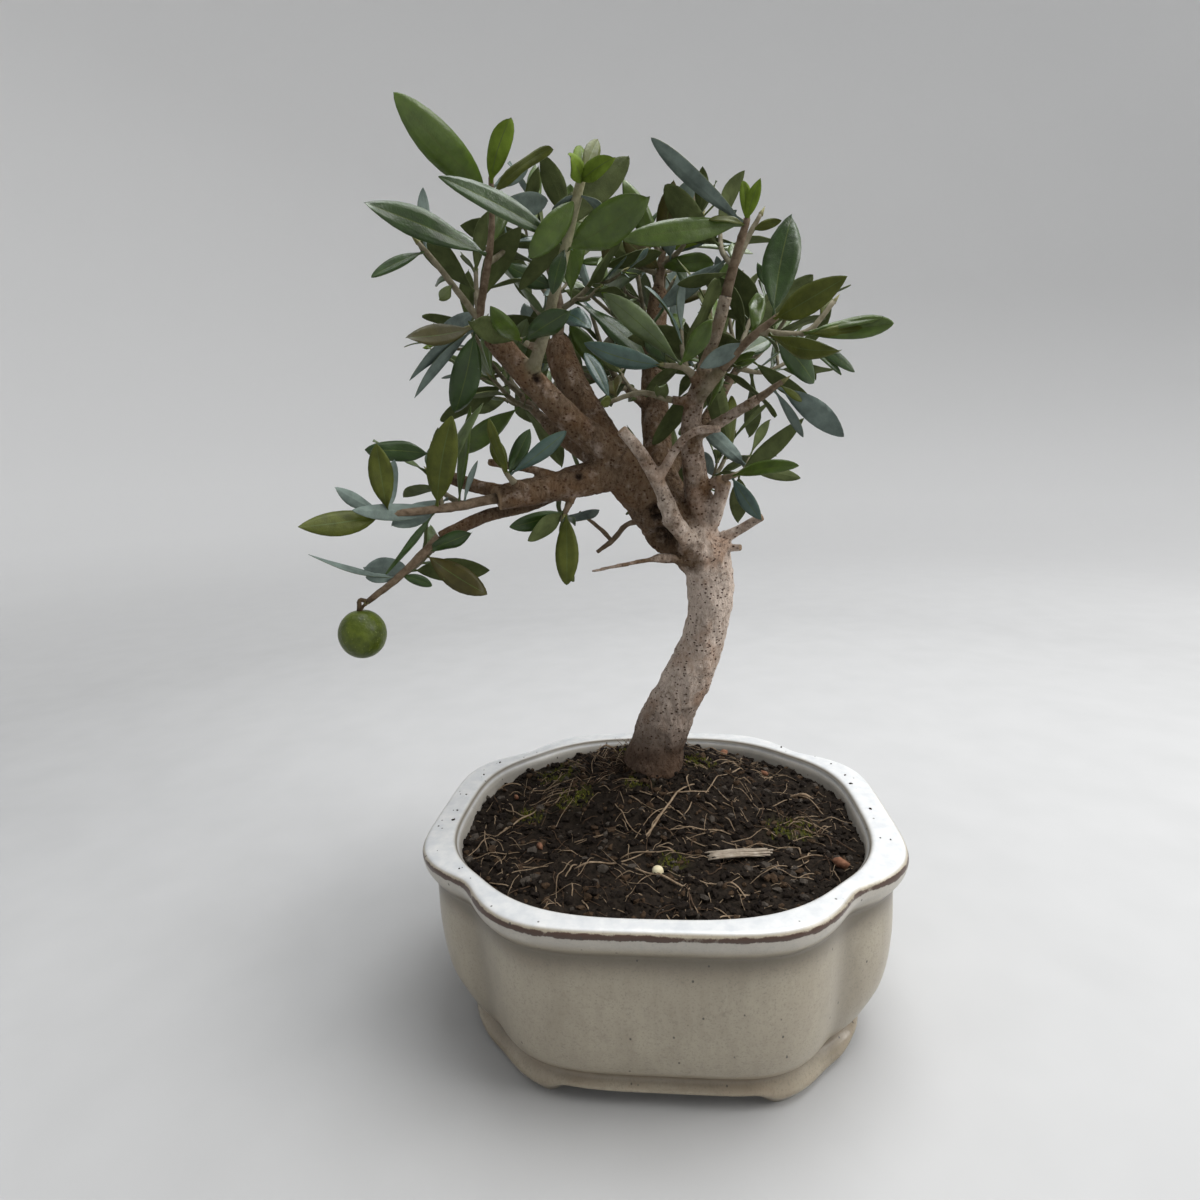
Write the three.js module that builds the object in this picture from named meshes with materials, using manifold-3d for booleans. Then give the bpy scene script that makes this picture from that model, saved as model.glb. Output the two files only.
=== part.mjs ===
// A potted olive bonsai: a lobed glazed pot on four feet, its mound of soil, and a small olive tree.
// Millimetres, +Z up, +X to the right and +Y away from the front. Sizes are given about the middle of the
// pot's foot, and the finished group is then moved so that its origin is under the middle of its own box.
import * as THREE from 'three';
import { mergeVertices } from 'three/addons/utils/BufferGeometryUtils.js';
import Module from 'manifold-3d';

const wasm = await Module();
wasm.setup();

// ---------------------------------------------------------------- driving dimensions
const GAP = 0.3; // between pieces that touch

const POT = {
  // Half sizes of the plan at each height: overall across X and Y, and out to the notch between two lobes.
  rim: { z: 74, x: 90, y: 77, notchX: 64.5, notchY: 53 },
  lip: { z: 65, x: 89, y: 76, notchX: 64, notchY: 52.5 },
  neck: { z: 62, x: 85.5, y: 72.5, notchX: 61.5, notchY: 50.5 },
  wall: { z: 42, x: 85.5, y: 72, notchX: 61, notchY: 50.5 },
  belly: { z: 26, x: 83, y: 70.5, notchX: 60, notchY: 50.5 },
  turn: { z: 17, x: 77.5, y: 68.5, notchX: 58.5, notchY: 50 },
  waist: { z: 10, x: 72.5, y: 65.6, notchX: 55.5, notchY: 49.5 },
  band: { z: 6, x: 74, y: 67, notchX: 57, notchY: 51 },
  foot: { z: 3, x: 73.5, y: 66.5, notchX: 56.5, notchY: 50.5 },
  lobePower: 5, // how square each lobe is
  mouthX: 78.5, // the opening inside the rim
  mouthY: 69,
  mouthNotchX: 60,
  mouthNotchY: 49,
  mouthPower: 3.3,
  innerTaper: 11, // how far the inner wall draws in on its way down
  floor: 11, // height of the inner floor
  footInset: 1, // from the foot ring's edge to the feet
  footWall: 9, // and to the hollow behind them
  footGapX: 34, // half the clear span between two feet
  footGapY: 30,
  lobeSteps: 10,
};

const SOIL = {
  edge: 67.5, // height where the soil meets the pot
  crown: 78, // flat top that the trunk stands on
  crownX: -1,
  crownY: 28,
  crownR: 17,
  slopeR: 58,
  rings: 6,
  lump: 1.2, // how far its clods stand above and below the slope
  lumpPitch: 21, // from one to the next
};

// A limb starts at a share of the way along its parent and is laid out in legs: [heading, rise, length].
// Heading 0 is +X and 90 is +Y. Its radii are spread evenly from its foot to its tip.
const TRUNK_FOOT = [-2, 28, SOIL.crown + GAP];
const LIMB_ROUND = 3.9; // a limb with a thicker foot is laid out in two steps a leg
const LIMBS = {
  trunk: {
    legs: [
      [5, 80, 11], [350, 70, 15], [350, 62, 16], [350, 65, 15], [345, 73, 14], [325, 82, 13], [235, 85, 13],
      [185, 82, 9],
    ],
    radii: [14.2, 11.2, 11.3, 10.1, 9.8, 9.2, 9.1, 9.6, 10.5], sides: 11,
  },
  bough_main_left: {
    parent: 'trunk', share: 0.9, legs: [[188, 45, 25], [211, 52, 16], [206, 47, 16]],
    radii: [10.5, 10, 9.6, 9.4], sides: 10,
  },
  bough_upper_left: {
    parent: 'bough_main_left', share: 0.97,
    legs: [[210, 40, 16], [212, 41, 15], [210, 46, 17], [214, 48, 16]],
    radii: [6.6, 5.6, 5, 4.6, 4.2], sides: 8,
  },
  bough_upper_middle: {
    parent: 'bough_main_left', share: 0.93, legs: [[165, 58, 20], [155, 61, 20], [139, 67, 15]],
    radii: [7.4, 6.2, 5.8, 5], sides: 8,
  },
  bough_cut_left: {
    parent: 'bough_main_left', share: 0.88, legs: [[204, -12, 22], [206, -9, 14], [204, -7, 15]],
    radii: [7.6, 6, 5.2, 4.5], sides: 8,
  },
  stub_dead: {
    parent: 'bough_cut_left', share: 0.3, legs: [[205, 18, 16], [204, 12, 18]],
    radii: [1.8, 1.6, 1.5], sides: 6,
  },
  bough_leader: {
    parent: 'trunk', share: 0.97,
    legs: [[143, 54, 33], [112, 68, 23], [95, 73, 27], [73, 74, 22], [65, 78, 14]],
    radii: [7.4, 6.4, 6, 5.6, 4.6, 3.6], sides: 8,
  },
  bough_right: {
    parent: 'trunk', share: 0.97, legs: [[243, 74, 32], [252, 74, 16], [296, 70, 13]],
    radii: [6.4, 4.6, 3.9, 3.4], sides: 6,
  },
  shoot_right: {
    parent: 'bough_right', share: 1, legs: [[321, 64, 18], [319, 68, 16]], radii: [3, 2.5, 2.2], sides: 6,
  },
  stem_front: {
    parent: 'trunk', share: 0.94, legs: [[234, 30, 20], [215, 62, 22], [213, 57, 13], [197, 51, 11]],
    radii: [3.8, 3.2, 2.8, 2.5, 2.2], sides: 6,
  },
  stub_fork: {
    parent: 'stem_front', share: 0.5, legs: [[333, 55, 15], [328, 32, 9], [347, 2, 9]],
    radii: [2, 1.8, 1.6, 1.5], sides: 6,
  },
  stub_top: {
    parent: 'trunk', share: 1, legs: [[300, 55, 13], [313, 67, 15]],
    radii: [3.6, 3, 2.7], sides: 6,
  },
  stub_side: {
    parent: 'trunk', share: 0.97, legs: [[344, 26, 14], [342, 30, 12]],
    radii: [3.4, 2.3, 1.8], sides: 6,
  },
  stub_small: { parent: 'trunk', share: 0.96, legs: [[338, 2, 15]], radii: [2, 1.5], sides: 6 },
  twig_bare: {
    parent: 'trunk', share: 0.85, legs: [[219, 18, 17], [212, 8, 11], [212, -3, 15], [211, -5, 12]],
    radii: [1.9, 1.2, 1, 0.9, 0.7], sides: 5,
  },
  bough_fruit: {
    parent: 'bough_cut_left', share: 0.28,
    legs: [[150, -20, 10], [195, -20, 14], [205, -12, 18], [209, -20, 18]],
    radii: [4, 3.2, 2.8, 2.5, 2.3], sides: 6,
  },
  stub_cut_left: {
    parent: 'bough_cut_left', share: 0.8, legs: [[165, 10, 18], [162, 18, 18]],
    radii: [3, 2.6, 2.4], sides: 6,
  },
  shoot_front: {
    parent: 'bough_upper_left', share: 0.7, legs: [[306, 41, 18], [309, 52, 21]],
    radii: [3, 2, 1.7], sides: 6,
  },
  bough_back_left: {
    parent: 'bough_main_left', share: 0.75, legs: [[140, 22, 22], [150, 30, 18], [148, 38, 14]],
    radii: [4.6, 3.8, 3.2, 2.8], sides: 6,
  },
  bough_back_right: {
    parent: 'bough_leader', share: 0.22, legs: [[48, 38, 20], [40, 44, 18], [46, 48, 14]],
    radii: [4.2, 3.4, 3, 2.6], sides: 6,
  },
  bough_back_high: {
    parent: 'bough_leader', share: 0.6, legs: [[100, 36, 18], [96, 46, 14]],
    radii: [3.4, 2.8, 2.4], sides: 6,
  },
  bough_right_low: {
    parent: 'bough_right', share: 0.58, legs: [[329, 23, 17], [328, 24, 13]],
    radii: [2.4, 2, 1.8], sides: 6,
  },
  shoot_side: { parent: 'bough_right', share: 0.92, legs: [[317, 38, 17]], radii: [2.6, 2.2], sides: 6 },
  spur_under: { parent: 'bough_cut_left', share: 0.3, legs: [[235, -62, 9]], radii: [2, 1.8], sides: 6 },
  spur_top: { parent: 'bough_cut_left', share: 0.72, legs: [[250, 20, 11]], radii: [2, 1.8], sides: 6 },
  bough_back_low: {
    parent: 'trunk', share: 0.96, legs: [[80, 34, 24], [92, 26, 16]], radii: [3.8, 3, 2.5], sides: 6,
  },
  spur_inner: { parent: 'bough_right', share: 0.8, legs: [[60, 42, 15]], radii: [2.4, 2], sides: 6 },
  spur_front: { parent: 'shoot_right', share: 0.08, legs: [[255, 20, 10]], radii: [2, 1.7], sides: 6 },
  spur_left: { parent: 'bough_right', share: 0.93, legs: [[200, 5, 9]], radii: [2, 1.7], sides: 6 },
  spur_shoot: { parent: 'shoot_front', share: 0.36, legs: [[225, 15, 5]], radii: [1.6, 1.4], sides: 6 },
  spur_low: { parent: 'bough_right', share: 0.24, legs: [[330, 20, 12]], radii: [2.2, 1.9], sides: 6 },
  spur_middle: { parent: 'bough_leader', share: 0.46, legs: [[215, 35, 14]], radii: [2.4, 2], sides: 6 },
};

const LEAF = {
  thick: 1.4, // thickness at its thickest, near the stalk
  thickAt: 0.22, // where that is, as a share of the length
  sunk: 0.7, // how far its root starts behind the twig's middle
  fromTip: 1.6, // the least distance from its root to the end of its twig
  stagger: 1.2, // between the two leaves of a pair, along their twig
  slimness: 0.29, // width over length
  tries: 7, // how many places are tried before a leaf or a side shoot is left out
};
// How far a leaf is moved at each further try: degrees, and shares of its size.
const NUDGE = { turn: 9, open: 7, roll: 12, length: 0.04, width: 0.03 };
const CLEAR = {
  leaf: 3.4, // least distance between the lines that stand for two leaves of different masses
  ownLeaf: 2.2, // and of one mass
  limb: 1.3, // from a leaf to the skin of a limb
  twig: 2.6, // from a twig of one mass to anything of another
};
// Corners of a blade from one shoulder round its tip to the other, as shares of its length and width.
const OUTLINES = {
  full: [[0.3, 0.48], [0.7, 0.42], [1, 0], [0.7, -0.42], [0.3, -0.48]],
  plain: [[0.45, 0.58], [1, 0], [0.45, -0.58]],
};
// The lines that stand for a blade where distances are measured: its midrib and its two edges.
const LEAF_LINES = [[[0.1, 0], [1, 0]], [[0.3, 0.48], [0.7, 0.42]], [[0.3, -0.48], [0.7, -0.42]]];
// Crosswise pairs up a shoot: where the first one is, and how leaves change from there to the tip.
const PAIR = {
  from: 0.3, open: 66, closing: 30, shrink: 0.3, // degrees, degrees, share of the length
  lengthSway: 0.14, widthSway: 0.25, turnSway: 16, openSway: 10, rollSway: 75,
};
// Side shoots: where the first one leaves the stem, and how they fan out and bend upwards.
const SPRAY = {
  from: 0.35, around: 137.5, closing: 0.55, bendAt: 0.45, lift: 0.45,
  lengthSway: 0.2, turnSway: 50, openSway: 12, radii: [1.3, 1, 0.8],
};
const TWIG_TAPER = [1, 0.8, 0.6];
const TWIG_SIDES = 3;
const TWIG_SWELL = 1.45; // a three-sided twig's corners stand out past its mean radius
const FRUIT = { width: 17, height: 18, stalk: 0.9, around: 10, along: 8 };
const CROWN_TOP = 328; // no leaf stands higher

// A mass stands on the tip of a limb and keeps within `reach` of it. Its first shoot is its stem, and each
// other one starts a share along an earlier one: { on, share, legs, radius, leaves }. A leaf is [share
// along its shoot, turn round it, angle opened from it, length, width, roll of the blade]. A shoot with
// `pairs` grows that many crosswise pairs of leaves instead, `leaf` long, and stays away where it would
// meet something. `sprays` adds side shoots of that kind by rule, and `fruit` is the leg from the stem's
// tip to a fruit.
const MASSES = {
  leaves_upper_left: {
    limb: 'bough_upper_left', seed: 11, reach: 84,
    shoots: [
      { legs: [[214, 48, 6]], radius: 2.2 },
      {
        on: 0, share: 1, legs: [[323, 69, 9], [314, 59, 11], [319, 72, 10], [301, 79, 12]], radius: 1.5,
        leaves: [
          [0.5, 175, 80, 41, 9.5, -70], [0.5, 125, 85, 24, 8, -30], [0.55, 50, 35, 21, 9, 20],
          [0.9, -145, 65, 40, 11.5, -130], [0.9, -50, 65, 25, 6, 70], [0.85, 15, 80, 22, 8, -70],
          [0.95, 5, 45, 15, 7, -70], [1, -80, 45, 20, 7.5, 140],
        ],
      },
      {
        on: 0, share: 1, legs: [[217, 51, 11], [213, 51, 12], [210, 48, 6]], radius: 1.3,
        leaves: [
          [0.4, -55, 95, 11, 8, 90], [0.45, 180, 80, 13, 4, -20], [0.8, -90, 75, 20, 5, -60],
          [0.8, 115, 55, 22, 5, -90],
        ],
      },
      {
        on: 0, share: 0.5, legs: [[190, 0, 5]], radius: 1.2,
        leaves: [
          [1, -20, 40, 27, 7.5, -150], [0.9, 160, 30, 19, 4, -120], [0.8, -80, 35, 29, 5, 30],
          [0.95, -85, 45, 32, 5, 30], [0.8, -105, 70, 30, 14, -90], [0.6, 0, 170, 22, 7.5, 0],
        ],
      },
      { on: 0, share: 0.9, legs: [[110, 50, 12], [100, 62, 12]], radius: 1.2, pairs: 3, leaf: 30 },
      { on: 1, share: 0.45, legs: [[60, 35, 10], [40, 50, 12]], radius: 1.1, pairs: 3, leaf: 28 },
    ],
  },
  leaves_front: {
    limb: 'shoot_front', seed: 12, reach: 60,
    shoots: [
      {
        legs: [[316, 60, 18], [323, 65, 8]], radius: 1.7,
        leaves: [
          [0.16, -80, 50, 34, 15, 110], [0.2, 160, 80, 41, 8.5, -50], [0.2, -110, 160, 18, 8, 10],
          [0.68, 145, 130, 26, 12, -80], [0.7, -100, 90, 14, 3.5, -30], [0.72, 135, 135, 9, 3.5, 40],
          [1, 55, 55, 17, 6.5, 10], [1, -150, 75, 15, 6, -100], [0.95, -105, 65, 16, 6.5, 120],
          [0.9, 35, 45, 19, 5.5, 30],
        ],
      },
      { on: 0, share: 0.25, legs: [[95, 40, 10], [80, 55, 12]], radius: 1.1, pairs: 3, leaf: 28 },
    ],
  },
  leaves_right_top: {
    limb: 'shoot_right', seed: 13, reach: 62,
    shoots: [
      {
        legs: [[335, 72, 15], [324, 68, 9]], radius: 1.9,
        leaves: [
          [0.25, 115, 115, 19, 5, 50], [0.3, 35, 50, 14, 9, -10], [0.9, 150, 70, 41, 7, 40],
          [0.9, 150, 110, 43, 9, -70], [0.88, 160, 95, 14, 3.5, -40], [1, -140, 20, 13, 8.5, 170],
          [1, 145, 25, 12, 5.5, -90],
        ],
      },
      {
        on: 0, share: 0.25, legs: [[33, 59, 13], [25, 57, 9]], radius: 1.3,
        leaves: [[0.65, -135, 55, 10, 5, 120]],
      },
      { on: 0, share: 0.3, legs: [[110, 40, 12], [90, 50, 12]], radius: 1.2, pairs: 3, leaf: 30 },
    ],
  },
  leaves_right: {
    limb: 'shoot_side', seed: 14, reach: 66,
    shoots: [
      {
        legs: [[317, 33, 13], [326, 29, 12]], radius: 1.8,
        leaves: [
          [1, 70, 60, 35, 13.5, -50], [1, -140, 25, 30, 9.5, 150], [0.6, 65, 70, 17, 13, -40],
          [0.5, 175, 150, 18, 11.5, 140],
        ],
      },
      {
        on: 0, share: 0.7, legs: [[10, -8, 10], [15, 10, 8], [25, 45, 13]], radius: 1.4,
        leaves: [
          [0.1, -170, 60, 36, 7.5, -150], [0.4, -120, 40, 24, 5, 100], [0.5, -170, 30, 29, 8, 160],
          [0.55, -155, 35, 23, 5.5, 140], [0.6, -160, 40, 24, 4, 120], [0.8, 35, 20, 12, 7.5, -60],
          [0.12, -60, 35, 25, 9, 70], [0.3, -115, 40, 23, 4, 90],
        ],
      },
      { on: 0, share: 0.4, legs: [[80, 25, 12], [70, 40, 12]], radius: 1.2, pairs: 3, leaf: 30 },
    ],
  },
  leaves_right_low: {
    limb: 'bough_right_low', seed: 15, reach: 50,
    shoots: [
      {
        legs: [[327, 28, 10]], radius: 1.5,
        leaves: [
          [0.75, -75, 70, 29, 8.5, -100], [0.6, -75, 90, 20, 5, -60], [0.5, 175, 155, 22, 5, 10],
          [1, -70, 70, 10, 3, 40],
        ],
      },
      { on: 0, share: 0.9, legs: [[20, 20, 12], [30, 35, 10]], radius: 1.1, pairs: 3, leaf: 27 },
    ],
  },
  leaves_left: {
    limb: 'bough_cut_left', seed: 16, reach: 76,
    shoots: [
      {
        legs: [[212, -8, 14], [214, -4, 11], [209, -2, 17]], radius: 2,
        leaves: [
          [0.3, 70, 115, 17, 3.5, -60], [0.35, 95, 110, 36, 5.5, 30], [0.42, 45, 10, 35, 7, -20],
          [0.6, 65, 100, 34, 11, 60], [0.62, 95, 115, 44, 6, 40], [0.6, -90, 45, 29, 3.5, 60],
          [0.95, 70, 85, 26, 12, 80], [0.95, 110, 105, 20, 7, -80], [1, 50, 35, 21, 5.5, -30],
          [1, -10, 15, 29, 9.5, -150],
        ],
      },
      {
        on: 0, share: 0.55, legs: [[120, 70, 22]], radius: 1.2,
        leaves: [[1, -25, 75, 25, 9, -90], [0.95, -160, 70, 18, 9, 90]],
      },
      { on: 0, share: 0.3, legs: [[150, 25, 12], [140, 40, 12]], radius: 1.2, pairs: 3, leaf: 30 },
    ],
  },
  leaves_fruit: {
    limb: 'bough_fruit', seed: 17, reach: 60, fruit: [215, -75, 12],
    shoots: [
      {
        legs: [[208, -40, 20], [209, -34, 15]], radius: 1.8,
        leaves: [
          [0.2, -75, 100, 28, 13.5, -90], [0.18, -55, 150, 24, 12, -50], [0.55, 90, 60, 31, 3, -40],
          [0.55, 95, 45, 11, 7, -80], [0.5, -50, 115, 13, 6, 80],
        ],
      },
      { on: 0, share: 0.5, legs: [[80, 10, 12], [70, 25, 12]], radius: 1.1, pairs: 3, leaf: 28 },
    ],
  },
  leaves_under: {
    limb: 'spur_under', seed: 18, reach: 44,
    shoots: [
      {
        legs: [[240, -50, 5]], radius: 1.5,
        leaves: [
          [0.9, -80, 30, 28, 9.5, -40], [1, 130, 25, 20, 7.5, 60], [0.9, -60, 125, 18, 12, -60],
          [0.8, 145, 55, 23, 9, 40],
        ],
      },
      { on: 0, share: 0.6, legs: [[110, -20, 12], [100, 0, 10]], radius: 1.1, pairs: 3, leaf: 27 },
    ],
  },
  leaves_centre: {
    limb: 'spur_top', seed: 19, reach: 44,
    shoots: [
      {
        legs: [[225, 50, 5]], radius: 1.4,
        leaves: [
          [0.9, 60, 90, 26, 6.5, -90], [1, 145, 50, 17, 8, -160], [0.95, 70, 65, 18, 12, 60],
          [1, 30, 20, 22, 5, 80], [0.9, -155, 65, 20, 9, -40],
        ],
      },
    ],
  },
  leaves_low: {
    limb: 'spur_low', seed: 20, reach: 44,
    shoots: [
      {
        legs: [[330, 10, 5]], radius: 1.5,
        leaves: [[1, -160, 15, 30, 6.5, 130], [0.9, -80, 70, 21, 7, -90]],
      },
      { on: 0, share: 0.6, legs: [[60, 10, 12], [70, 25, 12]], radius: 1.1, pairs: 3, leaf: 30 },
    ],
  },
  leaves_inner_front: {
    limb: 'spur_front', seed: 29, reach: 46,
    shoots: [
      {
        legs: [[215, 25, 5], [205, 5, 7]], radius: 1.4,
        leaves: [
          [0.4, 120, 25, 37, 8.5, 20], [0.05, 15, 95, 24, 12, -130], [0.98, 135, 20, 30, 8, 10],
          [0.95, 140, 85, 22, 8, 30], [0.6, 40, 100, 20, 7, 40],
        ],
      },
      { on: 0, share: 0.3, legs: [[100, 50, 10], [90, 60, 10]], radius: 1.1, pairs: 3, leaf: 26 },
    ],
  },
  leaves_knuckle: {
    limb: 'spur_left', seed: 30, reach: 46,
    shoots: [
      {
        legs: [[196, 14, 12], [190, -14, 13]], radius: 1.3,
        leaves: [
          [0.1, 0, 65, 16, 8, -40], [0.98, 120, 85, 24, 6, -80], [1, 0, 70, 12, 8.5, 150],
          [0.85, 155, 100, 22, 11, 80], [0.5, 120, 125, 22, 12, 90],
        ],
      },
      { on: 0, share: 0.55, legs: [[110, 20, 10], [120, 40, 10]], radius: 1.1, pairs: 3, leaf: 28 },
    ],
  },
  leaves_shoot: {
    limb: 'spur_shoot', seed: 31, reach: 40,
    shoots: [
      {
        legs: [[235, 20, 4]], radius: 1.2,
        leaves: [[0.7, -65, 15, 24, 8.5, 40], [0.8, 45, 100, 30, 10, 40], [1, 0, 20, 22, 7, 120]],
      },
    ],
  },
  leaves_upper_middle: {
    limb: 'bough_upper_middle', seed: 21, reach: 70,
    shoots: [
      {
        legs: [[73, 71, 13], [120, 74, 12]], radius: 2.4,
        leaves: [[1, 30, 110, 24, 7, 40], [0.9, 0, 70, 22, 12, -120], [0.5, 135, 130, 24, 8, 60]],
      },
    ],
    sprays: { count: 5, length: 28, open: 66, pairs: 3, leaf: 36 },
  },
  leaves_leader: {
    limb: 'bough_leader', seed: 22, reach: 62,
    shoots: [
      {
        legs: [[60, 76, 9], [30, 78, 8]], radius: 2.4,
        leaves: [
          [1, 95, 45, 34, 10, -120], [0.9, 160, 55, 30, 10, -160], [0.45, 90, 85, 26, 13, -120],
          [0.5, -160, 90, 24, 10, 100], [0.95, -130, 65, 25, 7, 100],
        ],
      },
    ],
    sprays: { count: 5, length: 24, open: 74, pairs: 3, leaf: 34 },
  },
  leaves_back_left: {
    limb: 'bough_back_left', seed: 23, reach: 66,
    shoots: [{ legs: [[148, 40, 12], [150, 48, 8]], radius: 2.2 }],
    sprays: { count: 5, length: 30, open: 72, pairs: 3, leaf: 37 },
  },
  leaves_back_right: {
    limb: 'bough_back_right', seed: 24, reach: 66,
    shoots: [{ legs: [[46, 46, 12], [40, 52, 8]], radius: 2.2 }],
    sprays: { count: 5, length: 30, open: 72, pairs: 3, leaf: 37 },
  },
  leaves_back_high: {
    limb: 'bough_back_high', seed: 25, reach: 58,
    shoots: [{ legs: [[96, 50, 11]], radius: 2 }],
    sprays: { count: 4, length: 26, open: 70, pairs: 3, leaf: 35 },
  },
  leaves_middle: {
    limb: 'spur_middle', seed: 26, reach: 52,
    shoots: [{ legs: [[200, 45, 10]], radius: 1.8 }],
    sprays: { count: 4, length: 22, open: 66, pairs: 3, leaf: 32 },
  },
  leaves_back_low: {
    limb: 'bough_back_low', seed: 27, reach: 58,
    shoots: [{ legs: [[95, 20, 10]], radius: 1.9 }],
    sprays: { count: 3, length: 26, open: 70, pairs: 3, leaf: 36 },
  },
  leaves_inner_right: {
    limb: 'spur_inner', seed: 28, reach: 54,
    shoots: [{ legs: [[60, 50, 10]], radius: 1.8 }],
    sprays: { count: 4, length: 22, open: 66, pairs: 3, leaf: 33 },
  },
};

// ---------------------------------------------------------------- paths
const radians = (degrees) => (degrees * Math.PI) / 180;
const direction = (heading, rise) =>
  new THREE.Vector3(
    Math.cos(radians(rise)) * Math.cos(radians(heading)),
    Math.cos(radians(rise)) * Math.sin(radians(heading)),
    Math.sin(radians(rise)),
  );

function pathOf(start, legs) {
  const points = [start.clone()];
  for (const [heading, rise, length] of legs)
    points.push(points.at(-1).clone().addScaledVector(direction(heading, rise), length));
  return new THREE.CatmullRomCurve3(points, false, 'catmullrom', 0.5);
}

const legLength = (legs) => legs.reduce((sum, [, , length]) => sum + length, 0);

// The value at share t of a list spread evenly from 0 to 1.
function spread(list, t) {
  const at = Math.min(t, 1) * (list.length - 1);
  const low = Math.min(Math.floor(at), list.length - 2);
  return THREE.MathUtils.lerp(list[low], list[low + 1], at - low);
}

// ---------------------------------------------------------------- solids
// A closed surface over rings of equal count, the lowest first, each running anticlockwise seen from the
// last ring. Both ends are closed with a fan.
function loft(rings) {
  const count = rings[0].length;
  const positions = rings.flat().flatMap((p) => [p.x, p.y, p.z]);
  const index = [];
  for (let r = 0; r + 1 < rings.length; r++)
    for (let i = 0; i < count; i++) {
      const j = (i + 1) % count;
      const [a, b, c, d] = [r * count + i, r * count + j, (r + 1) * count + j, (r + 1) * count + i];
      index.push(a, b, c, a, c, d);
    }
  const ends = [[rings[0], 0, true], [rings.at(-1), (rings.length - 1) * count, false]];
  for (const [ring, base, flip] of ends) {
    const middle = ring.reduce((sum, p) => sum.add(p), new THREE.Vector3()).divideScalar(count);
    const centre = positions.length / 3;
    positions.push(middle.x, middle.y, middle.z);
    for (let i = 0; i < count; i++) {
      const j = (i + 1) % count;
      index.push(centre, ...(flip ? [base + j, base + i] : [base + i, base + j]));
    }
  }
  const geometry = new THREE.BufferGeometry();
  geometry.setAttribute('position', new THREE.Float32BufferAttribute(positions, 3));
  geometry.setIndex(index);
  return geometry;
}

function solidOf(geometry) {
  const { position } = (geometry.index ? geometry.toNonIndexed() : geometry).attributes;
  const merged = mergeVertices(new THREE.BufferGeometry().setAttribute('position', position), 1e-4);
  const mesh = new wasm.Mesh({
    numProp: 3,
    vertProperties: merged.attributes.position.array,
    triVerts: new Uint32Array(merged.index.array),
  });
  return new wasm.Manifold(mesh);
}

function geometryOf(solid) {
  const { vertProperties, triVerts } = solid.getMesh();
  const geometry = new THREE.BufferGeometry();
  geometry.setAttribute('position', new THREE.Float32BufferAttribute(vertProperties, 3));
  geometry.setIndex(Array.from(triVerts));
  return geometry;
}

const union = (solids) => wasm.Manifold.union(solids);

// The largest piece of a solid, without its scraps.
function largest(solid) {
  return solid.decompose().reduce((a, b) => (a.volume() > b.volume() ? a : b));
}

// ---------------------------------------------------------------- pot and soil
// One ring of the plan: four lobes that meet at the notches.
function lobedRing({ x, y, notchX, notchY, z }, power) {
  const ring = [];
  const lobe = (place) => {
    for (let i = 0; i < POT.lobeSteps; i++) {
      const across = Math.sin((i / POT.lobeSteps - 0.5) * Math.PI);
      const out = 1 - Math.abs(across) ** power;
      const [px, py] = place(across, out);
      ring.push(new THREE.Vector3(px, py, z));
    }
  };
  lobe((a, o) => [a * notchX, -(notchY + o * (y - notchY))]);
  lobe((a, o) => [notchX + o * (x - notchX), a * notchY]);
  lobe((a, o) => [-a * notchX, notchY + o * (y - notchY)]);
  lobe((a, o) => [-(notchX + o * (x - notchX)), -a * notchY]);
  return ring;
}

// A plan level drawn in by an amount all round, at a height.
const inset = ({ x, y, notchX, notchY }, by, z) => ({
  z, x: x - by, y: y - by, notchX: notchX - by, notchY: notchY - by,
});
const MOUTH = { x: POT.mouthX, y: POT.mouthY, notchX: POT.mouthNotchX, notchY: POT.mouthNotchY };
const BRIM = POT.rim.z + 1; // the opening is cut from here down

function potSolid() {
  const names = ['foot', 'band', 'waist', 'turn', 'belly', 'wall', 'neck', 'lip', 'rim'];
  const outside = names.map((name) => lobedRing(POT[name], POT.lobePower));
  const inside = [
    lobedRing(inset(MOUTH, POT.innerTaper, POT.floor), POT.mouthPower),
    lobedRing(inset(MOUTH, 0, BRIM), POT.mouthPower),
  ];
  const body = solidOf(loft(outside)).subtract(solidOf(loft(inside)));
  // The feet are what two crossing slots and the hollow between them leave of a plate under the body.
  const slab = (by, low, high) =>
    solidOf(loft([low, high].map((z) => lobedRing(inset(POT.foot, by, z), POT.lobePower))));
  const plate = slab(POT.footInset, 0, POT.foot.z + 1);
  const hollow = slab(POT.footWall, -1, POT.foot.z + 2);
  const span = 2 * POT.rim.x;
  const slots = [[2 * POT.footGapX, span], [span, 2 * POT.footGapY]].map(([width, depth]) =>
    solidOf(new THREE.BoxGeometry(width, depth, 4 * POT.foot.z)),
  );
  const feet = slots.reduce((rest, slot) => rest.subtract(slot), plate.subtract(hollow));
  return union([body, feet]);
}

// Height of the clods at a place, two crossing sets of waves.
function lumps(x, y) {
  const pace = (2 * Math.PI) / SOIL.lumpPitch;
  const [first, second] = [Math.sin(pace * (x + 0.4 * y)), Math.sin(pace * (y - 0.55 * x) + 1)];
  return SOIL.lump * first * second;
}

// Height of the soil at a place in the pot.
function soilHeight(x, y) {
  const away = Math.hypot(x - SOIL.crownX, y - SOIL.crownY);
  const share = THREE.MathUtils.smoothstep(away, SOIL.crownR, SOIL.slopeR);
  return THREE.MathUtils.lerp(SOIL.crown, SOIL.edge + lumps(x, y), share);
}

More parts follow.
